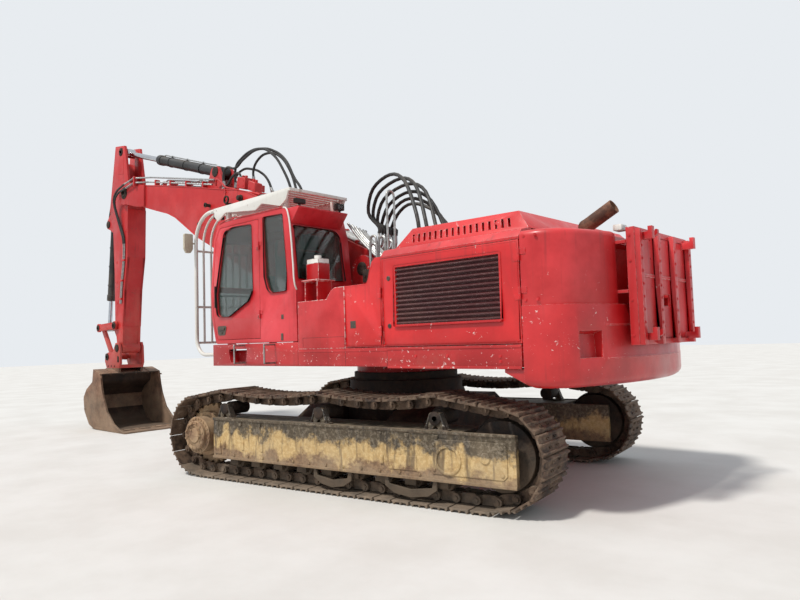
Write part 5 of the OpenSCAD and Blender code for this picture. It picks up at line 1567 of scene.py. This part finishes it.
@dataclass
class Tail:
    """Frames, locks and bolts of the engine bay, the counterweight and the guard, in millimetres."""

    bench: Bench
    side: float = SIDE
    guard_x: float = -3540.0
    louvre: tuple[float, float, float, float] = (-2550.0, -1220.0, 1870.0, 2490.0)

    def doors(self) -> None:
        """Pressed frames of the three doors and the locks of the engine doors."""
        y = self.side
        x0, x1, z0, z1 = self.louvre
        frame_outline = rounded([(x0 - 26, z0 - 24), (x1 + 26, z0 - 24), (x1 + 26, z1 + 24),
                                 (x0 - 26, z1 + 24)], [24, 24, 24, 24])
        panel = rounded([(-2756, 1652), (-1034, 1652), (-1034, 2584), (-2756, 2584)], [20, 20, 20, 20])
        for name, side in (("engine_door_left", 1), ("engine_door_right", -1)):
            work = Work(self.bench, name + "_trim")
            work.ring(frame_outline, Axis.Y, side * (y - 3), side * (y + 5), 22)
            work.ring(panel, Axis.Y, side * (y - 2), side * (y + 3), 12)
            work.done(RED, name, bevel=1.5)
            work = Work(self.bench, name + "_locks")
            for z in (1860, 2380):
                work.lathe([(26, -3), (26, 5), (22, 8), (12, 8), (10, 4), (0, 4)], (-1120, side * y, z),
                           (0, side, 0), 20)
                work.box((-1124, side * (y + 5) - 3, z - 9), (-1116, side * (y + 5) + 3, z + 9), 0.8)
            work.done(BLACK, name)
        work = Work(self.bench, "service_door_trim")
        work.ring(rounded([(-996, 1652), (-424, 1652), (-424, 2336), (-772, 2336), (-806, 2400),
                           (-836, 2488), (-880, 2560), (-996, 2560)], [18, 18, 18, 0, 0, 0, 20, 18]),
                           Axis.Y, y - 2, y + 3, 10)
        work.done(RED, "service_door", bevel=1.2)

    def weight(self) -> None:
        """Bolts and round covers on the counterweight and the cowl."""
        work = Work(self.bench, "tail_fittings")
        y = self.side
        for side in (-1, 1):
            work.bolts([(x, side * y, z) for x, z in ((-2530, 1520), (-2530, 1470), (-1480, 1530),
                                                      (-1900, 1530))], (0, side, 0), 13, 10)
            work.bolts([(x, side * y, 2030) for x in (-2830, -2950)], (0, side, 0), 12, 9)
            work.bolts([(x, side * y, 2620) for x in (-2830, -2950)], (0, side, 0), 10, 7)
            work.lathe([(44, -6), (44, 6), (34, 14), (0, 14)], (-2980, side * 1180, 2676), (0, 0, 1), 20)
        for y0 in (-430, -380, 380, 430):
            work.bolts([(-3120, y0, 2681)], (0, 0, 1), 14, 10)
        work.done(RED, "upper")

    def guard(self) -> None:
        """Bolt rows, hooks and panel frames of the rear guard, and the tail's white blocks."""
        x = self.guard_x - 50
        work = Work(self.bench, "guard_bolts")
        for y in (-655, -205, 215, 655):
            work.bolts([(x, y, z) for z in range(1680, 2640, 120)], (-1, 0, 0), 11, 8)
        for y in (-570, -330, 40, 90, 330, 540):
            work.bolts([(self.guard_x, y, z) for z in (1640, 1760, 2150, 2420, 2600)], (-1, 0, 0), 8, 6)
        for side in (-1, 1):
            for z in (1680, 2010, 2380, 2620):
                work.bolts([(-3490, side * 700, z)], (0, side, 0), 11, 8)
        for z in (1662, 2612):
            work.prism(rounded([(-3540, z), (-3640, z), (-3672, z + 24), (-3672, z + 70), (-3648, z + 70),
                                (-3640, z + 40), (-3540, z + 34)], [0, 20, 16, 8, 8, 10, 0]), Axis.Y, 430,
                                470, 3)
        work.done(RED, "upper")
        work = Work(self.bench, "guard_frames")
        for y0, y1 in ((-610, -250), (-160, 170), (260, 610)):
            work.ring([(y0, 1640), (y1, 1640), (y1, 2640), (y0, 2640)], Axis.X, self.guard_x + 2,
                      self.guard_x - 9, 26)
            work.box((self.guard_x - 14, y0 + 20, 2230), (self.guard_x + 2, y1 - 20, 2262), 3)
        work.done(RED, "upper", bevel=1.5)
        work = Work(self.bench, "tail_blocks")
        work.box((-3552, 96, 1962), (-3500, 158, 2072), 8, 2)
        work.box((-3420, 560, 2682), (-3330, 690, 2742), 10, 2)
        work.box((-1130, -60, 2948), (-1040, 240, 3010), 10, 2)
        work.done(WHITE, "upper")

    def hood(self) -> None:
        """Pressed ribs, latches and grips on the hood."""
        work = Work(self.bench, "hood_fittings")
        for x in (-2350, -1900, -1450):
            work.prism([(x - 22, 2944), (x + 22, 2946), (x + 14, 2956), (x - 14, 2955)], Axis.Y, -900, 900,
                       2)
        for side in (-1, 1):
            for x in (-2380, -1300):
                work.lathe([(30, -4), (30, 4), (20, 9), (0, 9)], (x, side * 1215, 2842),
                           (0, side * 1.0, 0.65), 18)
        for y in (-220, 220):
            work.rod((-1215, y, 2880), (-1150, y, 2912), 9, 10)
            work.rod((-1215, y, 2880), (-1240, y, 2915), 9, 10)
        work.done(RED, "hood_lid")

    def build(self) -> None:
        """Builds all of the tail's own pieces."""
        self.doors()
        self.weight()
        self.guard()
        self.hood()


def round_pin(x: float, z: float, reach: float, level: float, turns: tuple[float, ...]) -> list[Point]:
    """Places on a circle round a pin's line at X and Z, with their Y and their angles in radians.

    Args:
        x: The pin's X.
        z: The pin's Z.
        reach: Radius of the circle.
        level: Their Y.
        turns: Their angles in radians.

    Returns:
        The places.
    """
    return [(x + reach * math.cos(a), level, z + reach * math.sin(a)) for a in turns]


def cap(radius: float, foot: float, level: float, chamfer: float = 12.0, rise: float = 6.0) -> Outline:
    """Profile of a pin's cover with a chamfered rim and a raised middle.

    Args:
        radius: Its radius.
        foot: Where it starts on the pin's line.
        level: Where its rim ends.
        chamfer: Width of the rim's chamfer.
        rise: Height of the chamfer.

    Returns:
        The profile.
    """
    return [(radius, foot), (radius, level), (radius - chamfer, level + rise), (0, level + rise + 2)]


def strip(a: tuple[float, float], b: tuple[float, float], height: float, past: float = 0.0) -> Outline:
    """Outline of a strip that stands by a height to the left of a line, in X and Z.

    Args:
        a: One end of the line.
        b: Its other end.
        height: How far the strip stands out.
        past: How far it reaches past both ends.

    Returns:
        Its four corners.
    """
    start, end = Vector(a), Vector(b)
    way = (end - start).normalized()
    lift = Vector((-way.y, way.x)) * height
    start, end = start - way * past, end + way * past
    return [tuple(start), tuple(end), tuple(end + lift), tuple(start + lift)]


@dataclass
class Platform:
    """Lips, seams, caps, treads and pin covers of the upper deck, in millimetres."""

    bench: Bench
    side: float = SIDE

    def lips(self) -> None:
        """Folded lips along the deck's sides and the seams of the side body."""
        work = Work(self.bench, "deck_lips")
        for side in (-1, 1):
            for z0, z1 in ((1600, 1622), (1402, 1428)):
                work.box((-2758, side * self.side - 4, z0), (-1072, side * self.side + 7, z1), 3)
            work.box((-1072, side * self.side - 3, 1588), (440, side * self.side + 4, 1606), 2)
        work.done(DECK_RED, "upper")
        work = Work(self.bench, "deck_seams")
        for low, high in (((-390, 1764), (360, 1767)), ((-392, 1612), (-388, 1767)),
                          ((357, 1650), (361, 1767))):
            work.box((low[0], self.side - 1, low[1]), (high[0], self.side + 1, high[1]), 0.4)
        for x in (-1068, -404, 462):
            work.box((x - 2, self.side - 1, 1430), (x + 2, self.side + 1, 1618), 0.4)
        work.done(SEAL, "upper")

    def treads(self) -> None:
        """Studded treads, tank caps and steps on the right side."""
        work = Work(self.bench, "tank_tops")
        tops = ((330, 1430, 2440), (-900, 220, 2560), (1530, 2190, 1980))
        for x0, x1, z in tops:
            work.box((x0, -1400, z - 2), (x1, -760, z + 6), 3)
        work.done(DECK_RED, "upper")
        stud = Work(self.bench, "stud_pattern")
        stud.rod((0, 0, 0), (0, 0, 7), 13, 8, 8)
        pattern = stud.part()
        work = Work(self.bench, "tread_studs")
        places = []
        for x0, x1, z in tops:
            for i in range(int((x1 - x0) / 90)):
                for j in range(7):
                    spot = Vector((x0 + 60 + i * 90, -1360 + j * 92 + 46 * (i % 2), z + 5))
                    places.append(Matrix.Translation(spot * MM))
        work.stamp(pattern, places)
        work.done(DECK_RED, "upper")
        work = Work(self.bench, "tank_caps")
        for x, y, z in ((560, -1300, 2445), (-760, -1300, 2565)):
            work.lathe([(88, -4), (88, 16), (70, 22), (66, 48), (54, 56), (0, 58)], (x, y, z), (0, 0, 1),
                       32)
            work.box((x - 50, y - 8, z + 54), (x + 50, y + 8, z + 74), 5)
        work.done(BLACK, "upper")
        work = Work(self.bench, "locker_steps")
        for z in (1560, 1790):
            for x in (1600, 2150):
                work.rod((x, -1480, z), (x, -1520, z), 11, 10)
            work.rod((1590, -1520, z), (2160, -1520, z), 12, 12)
        work.rod((1476, -1492, 1660), (1476, -1492, 1975), 3, 6)
        work.done(ZINC, "upper")

    def pins(self) -> None:
        """Covers and bolts on the boom's foot pin and the boom cylinders' base pins."""
        work = Work(self.bench, "pin_covers")
        for side in (-1, 1):
            x, z = PINS["boom_foot"]
            work.lathe([(92, 466), (92, 480), (82, 486), (40, 486), (36, 480), (0, 480)], (x, 0, z),
                       (0, side, 0), 28)
            work.bolts(round_pin(x, z, 66, side * 484, (0.5, 2.6, 4.7)), (0, side, 0), 11, 9)
            x, z = PINS["boom_ram_base"]
            work.lathe([(76, 498), (76, 510), (66, 514), (0, 514)], (x, 0, z), (0, side, 0), 24)
            work.bolts([(x - 40, side * 512, z), (x + 40, side * 512, z)], (0, side, 0), 10, 8)
        work.done(DARK_STEEL, "upper")

    def bulkhead_pipes(self) -> None:
        """Pipes, bends and block of the valve between the cab and the engine bay."""
        routes = []
        for index in range(6):
            y, drop = 600 - 50 * index, 22 * index
            routes.append([(500 - drop, y - 60, 3330 - drop), (400, y - 40, 3230), (210, y, 3060),
                           (30, y, 2900), (-120, y + 6, 2790), (-260, y + 8, 2745), (-330, y + 8, 2700)])
        hoses(self.bench, "valve_pipes", routes, 17, ZINC, "upper")
        loops = []
        for index, (x, z) in enumerate(((-330, 3010), (-450, 2990), (-550, 2930), (-240, 2930))):
            arc = ((-52, 2560), (-52, z - 70), (-38, z - 14), (0, z), (38, z - 14), (52, z - 70),
                   (52, 2560))
            loops.append([(x + reach, 900 - index * 30, height) for reach, height in arc])
        hoses(self.bench, "valve_bends", loops, 16, ZINC, "upper")
        work = Work(self.bench, "valve_block")
        work.box((-640, 560, 2440), (-150, 930, 2600), 10, 2)
        work.box((-620, 380, 2500), (-220, 560, 2740), 10, 2)
        for x in (-560, -440, -320, -200):
            work.lathe([(34, 0), (34, 60), (24, 70), (0, 70)], (x, 640, 2590), (0, 0, 1), 14)
            work.bolts([(x, 930, 2520)], (0, 1, 0), 18, 14)
        work.done(DARK_STEEL, "upper")

    def build(self) -> None:
        """Builds all of the platform's own pieces."""
        self.lips()
        self.treads()
        self.pins()
        self.bulkhead_pipes()


@dataclass
class Ram:
    """Feed pipe, clamps and gland bolts of one hydraulic cylinder's barrel."""

    bench: Bench
    name: str
    body: str
    across: float
    radius: float
    length: float
    mirrored: bool = False

    def build(self) -> None:
        """Builds the pipe, its clamps and the ring of gland bolts."""
        a, b = Vector(PINS[self.name + "_base"]), Vector(PINS[self.name + "_eye"])
        way = (b - a).normalized()
        up = Vector((-way.y, way.x))
        reach = self.radius + 24

        def spot(distance: float, lift: float) -> Point:
            """A point beside the barrel.

            Args:
                distance: How far along the barrel.
                lift: How far above its line.

            Returns:
                The point.
            """
            p = a + way * distance + up * lift
            return (p.x, self.across, p.y)

        route = [spot(self.length - 150, self.radius + 4), spot(self.length - 200, reach),
                 spot(self.length - 320, reach), spot(self.length * 0.5, reach), spot(360, reach),
                 spot(240, reach + 2), spot(200, self.radius)]
        routes = [route]
        if self.mirrored:
            routes.append([(x, -y, z) for x, y, z in route])
        hoses(self.bench, self.name + "_pipe", routes, 13, ZINC, self.body)
        work = Work(self.bench, self.name + "_clamps")
        for share in (0.3, 0.55, 0.8):
            centre = spot(self.length * share, 0)
            ring = [(self.radius + 1, -16), (self.radius + 9, -16), (self.radius + 9, 16),
                    (self.radius + 1, 16)]
            work.lathe(ring, centre, (way.x, 0, way.y), 36)
            work.rod(spot(self.length * share, self.radius + 6), spot(self.length * share, reach + 18), 15,
                     8)
        for index in range(8):
            turn = math.tau * (index + 0.5) / 8
            side = Vector((0, 1, 0)) * math.cos(turn) + Vector((up.x, 0, up.y)) * math.sin(turn)
            head = Vector(spot(self.length, 0)) + side * (self.radius - 8)
            work.rod(tuple(head), tuple(head + Vector((way.x, 0, way.y)) * 12), 10, 6)
        if self.mirrored:
            work.mirror_y()
        work.done(BLACK, self.body)


@dataclass
class Boom:
    """Edge plates, clamps, blocks, pins and hoses of the boom, in millimetres."""

    bench: Bench
    half: float = 250.0
    top_rear: tuple[Pair, ...] = ((1000.0, 3249.5), (3300.0, 4330.0), (3650.0, 4430.0), (3950.0, 4480.0))
    low_rear: tuple[Pair, ...] = ((3950.0, 3290.0), (3400.0, 2990.0), (2900.0, 2810.0), (2700.0, 2795.8))
    top_front: tuple[Pair, ...] = ((3950.0, 4480.0), (4780.0, 4665.0), (6300.0, 4985.0), (6900.0, 5100.0))
    low_front: tuple[Pair, ...] = ((6500.0, 4500.0), (5980.0, 4350.0), (5700.0, 4230.0), (5370.0, 4030.0),
                                   (4900.0, 3740.0), (3950.0, 3290.0))

    def plates(self) -> None:
        """Top and bottom plates that stand proud of the side plates, and the coupling's flanges."""
        work = Work(self.bench, "boom_plates")
        for line in (self.top_rear, self.low_rear, self.top_front, self.low_front):
            for a, b in zip(line, line[1:]):
                work.prism(strip(a, b, -18, 3), Axis.Y, -self.half - 9, self.half + 9, 3)
        work.prism([(3936, 3262), (3964, 3276), (3964, 4492), (3936, 4488)], Axis.Y, -self.half - 13,
                   self.half + 13, 3)
        for side in (-1, 1):
            for x, low in ((3920, 3380), (3980, 3400)):
                work.bolts([(x, side * self.half, z) for z in range(low, low + 1060, 130)], (0, side, 0),
                           13, 10)
        work.done(ARM_RED, "boom")

    def pins(self) -> None:
        """Pin covers and bolts at the nose and the cylinders' pins."""
        work = Work(self.bench, "boom_pins")
        for side in (-1, 1):
            x, z = PINS["boom_nose"]
            work.lathe([(130, 288), (130, 300), (118, 306), (84, 306), (80, 316), (0, 316)], (x, 0, z),
                       (0, side, 0), 32)
            work.bolts(round_pin(x, z, 104, side * 305, (0.3, 1.9, 3.4, 5.0)), (0, side, 0), 12, 10)
            x, z = PINS["boom_ram_eye"]
            work.lathe([(122, 248), (122, 262), (0, 262)], (x, 0, z), (0, side, 0), 32)
            work.lathe([(78, 452), (78, 466), (66, 471), (0, 471)], (x, 0, z), (0, side, 0), 28)
            work.bolts([(x - 38, side * 470, z), (x + 38, side * 470, z)], (0, side, 0), 11, 8)
            work.lathe([(96, 158), (96, 170), (84, 176), (60, 176), (0, 182)], (4400, 0, 4900),
                       (0, side, 0), 28)
        work.done(DARK_STEEL, "boom")

    def fittings(self) -> None:
        """Pipe clamps along the top, valve blocks, eyes and stubs on the side."""
        work = Work(self.bench, "boom_clamps")
        way = Vector((2980.0, 1400.0)).normalized()
        lift = Vector((-way.y, way.x))
        for distance in (420, 1080, 1740, 2400, 3050):
            p = Vector((320.0, 2930.0)) + way * distance
            work.prism([tuple(p - way * 26 - lift * 4), tuple(p + way * 26 - lift * 4),
                        tuple(p + way * 26 + lift * 50), tuple(p - way * 26 + lift * 50)], Axis.Y, -212,
                        212, 4)
            for y in (-193, -105, -35, 35, 105, 193):
                q = p + lift * 50
                work.bolts([(q.x, y, q.y)], (lift.x, 0, lift.y), 9, 8)
        for x, z in ((4700, 4672), (5300, 4798), (5900, 4922), (6500, 5046)):
            for side in (-1, 1):
                work.box((x - 24, side * 204 - 56, z - 30), (x + 24, side * 204 + 44, z + 90), 5)
        for side in (-1, 1):
            work.prism([(7180, 5130), (7240, 5138), (7226, 5330), (7166, 5322)], Axis.Y, side * 338 - 42,
                       side * 338 + 26, 5)
        work.done(ARM_RED, "boom")
        work = Work(self.bench, "valve_blocks")
        work.prism([(3410, 4390), (3650, 4450), (3620, 4640), (3390, 4590)], Axis.Y, 40, 215, 8)
        work.prism([(3120, 4280), (3320, 4360), (3290, 4520), (3100, 4440)], Axis.Y, 60, 215, 8)
        work.prism([(3410, 4390), (3650, 4450), (3640, 4560), (3400, 4510)], Axis.Y, -215, -60, 8)
        for x, z in ((3470, 4606), (3560, 4626), (3180, 4474), (3250, 4504)):
            work.lathe([(26, -10), (26, 34), (18, 44), (0, 46)], (x, 130, z), (-0.3, 0, 1), 14)
        work.bolts([(x, 214, z) for x, z in ((3450, 4450), (3600, 4490), (3580, 4580), (3430, 4540),
                                             (3160, 4330), (3270, 4380))], (0, 1, 0), 10, 8)
        work.done(ARM_RED, "boom")
        work = Work(self.bench, "boom_stubs")
        for side in (-1, 1):
            work.lathe([(30, 248), (30, 330), (44, 334), (44, 356), (0, 358)], (4445, 0, 4262),
                       (0, side, 0), 18)
            work.lathe([(30, 248), (30, 300), (0, 304)], (4780, 0, 3970), (0, side, 0), 16)
            work.lathe([(52, 322), (72, 322), (72, 350), (52, 350)], (3785, 0, 4248), (0, side, 0), 22)
            work.rod((3785, side * 246, 4180), (3785, side * 336, 4180), 22, 12)
            work.lathe([(60, 248), (60, 276), (48, 284), (48, 320), (36, 330), (0, 330)], (3460, 0, 4232),
                       (0, side, 0), 8)
        work.done(DARK_STEEL, "boom")

    def lines(self) -> None:
        """Hose arches over the middle of the boom and their end fittings."""
        black = [
            [(3820, 110, 4520), (3840, 110, 4740), (3800, 105, 4900), (3660, 100, 4990), (3360, 95, 5070),
             (3050, 90, 5040), (2790, 85, 4960), (2450, 80, 4730), (2200, 75, 4350), (2080, 70, 4200),
             (1980, 60, 3960), (1900, 50, 3760)],
            [(4140, 150, 4600), (4150, 150, 4780), (4080, 150, 4890), (3760, 150, 4840), (3530, 150, 4940),
             (3030, 150, 5020), (2700, 140, 4860), (2420, 130, 4520), (2250, 120, 4180), (2180, 110, 3900)],
            [(3520, -60, 4600), (3520, -60, 4800), (3380, -70, 4960), (3120, -80, 5010), (2820, -90, 4900),
             (2560, -95, 4620), (2400, -100, 4260), (2330, -100, 3990)],
            [(4230, -150, 4620), (4220, -150, 4780), (4000, -150, 4900), (3700, -150, 4860),
             (3400, -140, 4730), (3200, -130, 4560), (3080, -130, 4340)],
            [(3560, 175, 4590), (3600, 185, 4700), (3760, 190, 4700), (3960, 195, 4560), (4080, 190, 4520)],
        ]
        hoses(self.bench, "boom_top_hoses", black, 22, RUBBER, "boom")
        red = [[(4280, 225, 4600), (4250, 235, 4700), (4100, 240, 4640), (3950, 240, 4520),
                (3700, 238, 4440), (3470, 232, 4340), (3200, 222, 4290), (2980, 205, 4220)]]
        hoses(self.bench, "boom_red_hose", red, 17, ARM_RED, "boom")
        silver = [[(4800 + step, step, 4720), (4840 + step, step, 4820), (5000, step - 60, 4860),
                   (5500, step - 80, 4920), (6200, step - 80, 5066), (6500, step - 80, 5110)]
                   for step in (0, 60, 120)]
        hoses(self.bench, "boom_top_pipes", silver, 13, ZINC, "boom")
        work = Work(self.bench, "hose_ends")
        for route in black:
            for first, second in ((route[0], route[1]), (route[-1], route[-2])):
                a, b = Vector(first), Vector(second)
                step = (b - a).normalized()
                work.rod(tuple(a - step * 20), tuple(a + step * 70), 27, 12)
                work.rod(tuple(a - step * 24), tuple(a + step * 14), 33, 6)
        work.done(ZINC, "boom")

    def build(self) -> None:
        """Builds all of the boom's own pieces."""
        self.plates()
        self.pins()
        self.fittings()
        self.lines()
        Ram(self.bench, "boom_ram", "boom_barrels", 360, 98, 1850, mirrored=True).build()
        Ram(self.bench, "stick_ram", "stick_barrel", 0, 95, 2440).build()
        Ram(self.bench, "bucket_ram", "bucket_barrel", 0, 82, 1740).build()


@dataclass
class Stick:
    """Edge plates, pin covers and fittings of the stick and the bucket linkage, in millimetres."""

    bench: Bench
    half: float = 200.0
    back: tuple[Pair, ...] = ((8070.0, 2200.0), (7990.0, 3000.0), (7840.0, 3700.0), (7800.0, 4760.0))

    def plates(self) -> None:
        """Edge strips, stiffeners, bolted bars and pads on the side plates."""
        work = Work(self.bench, "stick_plates")
        for a, b in zip(self.back, self.back[1:]):
            work.prism(strip(a, b, -16, 2), Axis.Y, -self.half - 7, self.half + 7, 3)
        for side in (-1, 1):
            y = side * self.half
            work.prism([(8010, 5560), (8290, 5600), (8180, 6140), (8010, 6120)], Axis.Y, y - 5, y + 5, 3)
            work.prism([(8100, 2140), (8440, 2140), (8420, 2420), (8110, 2500)], Axis.Y, y - 5, y + 5, 3)
            work.box((7900, y - 7, 3900), (7925, y + 7, 4320), 3)
            work.bolts([(7912, y + side * 5, z) for z in (3950, 4110, 4270)], (0, side, 0), 11, 8)
            for z in (2700, 3150, 3600):
                work.box((8330, y - 6, z), (8400, y + 6, z + 60), 4)
        work.done(ARM_RED, "stick")

    def pins(self) -> None:
        """Pin covers of the stick, the rockers, the link and the coupler."""
        work = Work(self.bench, "stick_pins")
        for side in (-1, 1):
            x, z = PINS["stick_ram_eye"]
            work.lathe(cap(92, 198, 212), (x, 0, z), (0, side, 0), 28)
            work.bolts(round_pin(x, z, 58, side * 217, (0.4, 2.5, 4.6)), (0, side, 0), 11, 9)
            x, z = PINS["bucket_ram_base"]
            work.lathe(cap(82, 148, 166, 10), (x, 0, z), (0, side, 0), 26)
        work.done(DARK_STEEL, "stick")
        work = Work(self.bench, "rocker_pins")
        for side in (-1, 1):
            x, z = PINS["rocker"]
            work.lathe(cap(80, 262, 280), (x, 0, z), (0, side, 0), 26)
            work.bolts(round_pin(x, z, 44, side * 285, (0.4, 3.5)), (0, side, 0), 9, 8)
            x, z = PINS["bucket_ram_eye"]
            work.lathe(cap(70, 262, 276), (x, 0, z), (0, side, 0), 26)
        work.done(DARK_STEEL, "rockers")
        work = Work(self.bench, "coupler_pins")
        for side in (-1, 1):
            x, z = PINS["coupler"]
            work.lathe(cap(84, 272, 290, rise=8), (x, 0, z), (0, side, 0), 26)
            x, z = PINS["link"]
            work.lathe(cap(78, 272, 288), (x, 0, z), (0, side, 0), 26)
            work.prism([(8110, 1420), (8180, 1420), (8180, 1560), (8110, 1540)], Axis.Y, side * 272,
                       side * 284, 3)
            work.bolts([(8145, side * 283, z) for z in (1450, 1520)], (0, side, 0), 11, 9)
            work.bolts([(x, side * 274, 1335) for x in (8330, 8480, 8640)], (0, side, 0), 13, 10)
        work.done(DARK_STEEL, "bucket")

    def lines(self) -> None:
        """Pipes down the stick, with clamps, and the bucket cylinder's hoses."""
        routes = []
        for side in (-1, 1):
            for k in range(2):
                y = side * (self.half + 19)
                routes.append([(7930 + 60 * k, side * 225, 4020), (7935 + 60 * k, y, 3900),
                               (7960 + 60 * k, y, 3600), (8060 + 55 * k, y, 3100),
                               (8110 + 55 * k, y, 2700)])
        hoses(self.bench, "stick_pipes", routes, 14, ZINC, "stick")
        hoses(self.bench, "bucket_feed", [[(8420, side * 150, 5350), (8560, side * 150, 5250),
                                           (8720, side * 140, 5050), (8860, side * 120, 4860),
                                           (8960, side * 100, 4700)] for side in (-1, 1)], 18, RUBBER,
                                           "stick")
        work = Work(self.bench, "stick_clamps")
        for side in (-1, 1):
            for x, z in ((7985, 3640), (8075, 3200), (8135, 2800)):
                work.box((x - 52, side * self.half - 8, z - 22),
                         (x + 76, side * self.half + side * 44, z + 22), 5)
        work.done(ARM_RED, "stick")

    def build(self) -> None:
        """Builds all of the stick's own pieces."""
        self.plates()
        self.pins()
        self.lines()


@dataclass
class Bucket:
    """Worn blades, side bars, ribs and wear strips of the bucket, in millimetres."""

    bench: Bench
    half: float = 670.0

    def build(self) -> None:
        """Builds the bucket's edge and its wear parts."""
        work = Work(self.bench, "bucket_blades")
        edges = [(-664, -350), (-336, -16), (16, 336), (350, 664)]
        rng = random.Random(11)
        for low, high in edges:
            worn = [(6992 + rng.uniform(-14, 14), low + (high - low) * i / 6) for i in range(7)]
            work.prism(worn + [(7230, high), (7230, low)], Axis.Z, 1, 30, 3)
            work.prism([(7150, low + 30), (7330, low + 30), (7330, high - 30), (7150, high - 30)], Axis.Z,
                       40, 62, 4)
            work.bolts([(7240, low + (high - low) * share, 60) for share in (0.25, 0.75)], (0, 0, 1), 20,
                       12)
        work.done(BUCKET, "bucket")
        work = Work(self.bench, "bucket_bars")
        mouth = [(7190, 53), (7500, 165), (7815, 410), (7990, 700), (8060, 900), (8130, 1190)]
        for a, b in zip(mouth, mouth[1:]):
            work.prism(strip(a, b, -46, 4), Axis.Y, self.half - 36, self.half + 5, 4)
        for x, z, size in ((8110, 1120, 60), (8820, 780, 40), (8900, 420, 40)):
            work.box((x - size, self.half - 4, z - 16), (x + size, self.half + 8, z + 16), 5)
        work.prism([(7420, 4), (8360, 14), (8360, 60), (7480, 60)], Axis.Y, self.half - 4, self.half + 7, 3)
        work.mirror_y()
        for y in (-420, -140, 140, 420):
            work.prism([(8168, 1150), (8300, 1228), (8440, 1262), (8440, 1284), (8150, 1206)], Axis.Y,
                       y - 12, y + 12, 3)
        for y in (-500, -180, 180, 500):
            work.prism([(7700, 1), (8440, 3), (8722, 90), (8962, 360), (8940, 364), (8708, 106), (8440, 20),
                        (7700, 10)], Axis.Y, y - 40, y + 40, 3)
        work.done(BUCKET, "bucket")


# Each CAD node's finish and the width of its softened edges in millimetres.
SKINS: dict[str, tuple[Finish, float]] = {
    "car_body": (DARK_STEEL, 8.0), "slew_ring": (DARK_STEEL, 4.0), "track_frame_left": (FRAME_SIDE, 6.0),
    "track_frame_right": (FRAME_SIDE, 6.0), "final_drives": (HUB_TAN, 8.0), "idlers": (DARK_STEEL, 8.0),
    # The bottom rollers' dark oily steel is partly painted shade, for the shadow under the track frames.
    "bottom_rollers": (DARK_STEEL, 6.0), "carrier_rollers": (DARK_STEEL, 6.0),
    "upper_frame": (DECK_RED, 6.0), "counterweight": (WEIGHT_RED, 8.0), "rear_cowl": (RED, 6.0),
    "rear_guard": (RED, 4.0), "side_body_left": (RED, 6.0), "bulkhead": (RED, 5.0),
    "fuel_tank": (RED, 14.0), "oil_tank": (RED, 14.0), "front_locker": (RED, 10.0), "engine": (BLACK, 12.0),
    "exhaust": (EXHAUST, 3.0), "engine_door_left": (DOOR_RED, 4.0), "engine_door_right": (DOOR_RED, 4.0),
    "service_door": (DOOR_RED, 4.0), "hood_lid": (DOOR_RED, 8.0), "cab_shell": (CAB_RED, 8.0),
    "cab_mounts": (SEAL, 6.0), "cab_seat": (CLOTH, 22.0), "cab_console": (TRIM, 10.0),
    "roof_guard": (WHITE, 3.0), "front_guard": (WHITE, 0.0), "cab_mirror": (BEIGE, 8.0),
    "handrails": (ZINC, 0.0), "canister": (RED, 6.0), "cab_door": (CAB_RED, 6.0),
    "boom_base": (ARM_RED, 6.0), "boom_front": (ARM_RED, 6.0), "boom_pipes": (ZINC, 0.0),
    "boom_barrels": (BLACK, 5.0), "boom_rods": (CHROME, 3.0), "stick_barrel": (BLACK, 5.0),
    "stick_rod": (CHROME, 3.0), "stick": (ARM_RED, 6.0), "bucket_barrel": (BLACK, 5.0),
    "bucket_rod": (CHROME, 3.0), "rockers": (ARM_RED, 6.0), "bucket_link": (ARM_RED, 6.0),
    "quick_coupler": (ARM_RED, 6.0), "bucket": (BUCKET, 5.0),
}
# Node, finish, low and high corner, and the point that the faces look at, in millimetres.
ZONES: tuple[tuple[str, Finish, Point, Point, Point | None], ...] = (
    # Painted shade: the louvre slats of both engine doors get the darkened red.
    ("engine_door_left", LOUVRE_SHADE_RED, (-2549, 1440, 1871), (-1221, 1489, 2489), None),
    ("engine_door_right", LOUVRE_SHADE_RED, (-2549, -1489, 1871), (-1221, -1440, 2489), None),
    # Painted shade: the faces that look into the bucket get the darker steel.
    ("bucket", BUCKET_SHADE_STEEL, (7300, -639, 30), (8905, 639, 1180), (8100.0, 0.0, 500.0)),
    ("canister", WHITE, (0, 0, 2697), (3000, 3000, 4000), None),
)
# Hoses, the bodies at their start and end, and the points between which they turn, in metres.
BENDS: tuple[tuple[str, tuple[str, str], Point, Point], ...] = (
    ("arch_hoses", ("boom", "upper"), (0.28, 0.0, 3.4), (-1.0, 0.0, 3.4)),
    ("stick_hoses", ("boom", "stick"), (7.9, 0.0, 5.05), (7.98, 0.0, 4.15)),
)


def main() -> None:
    """Builds the machine's looks in order."""
    logging.basicConfig(level=logging.INFO, format="%(message)s")
    random.seed(7)
    Studio().build()
    bench = Bench()
    skins = {node: bench.dress(node, finish, bevel) for node, (finish, bevel) in SKINS.items()}
    for node, finish, low, high, heart in ZONES:
        bench.zone(skins[node], finish, low, high, heart)
    for node in ("cab_glass", "door_glass"):
        bench.paint(frame["nodes"][node], GLASS)
    for node, bodies, start, end in BENDS:
        bench.bend(node, RUBBER, bodies)
    for group in (Undercarriage, Cab, Tail, Platform, Boom, Stick, Bucket):
        group(bench).build()


if __name__ == "__main__":
    main()
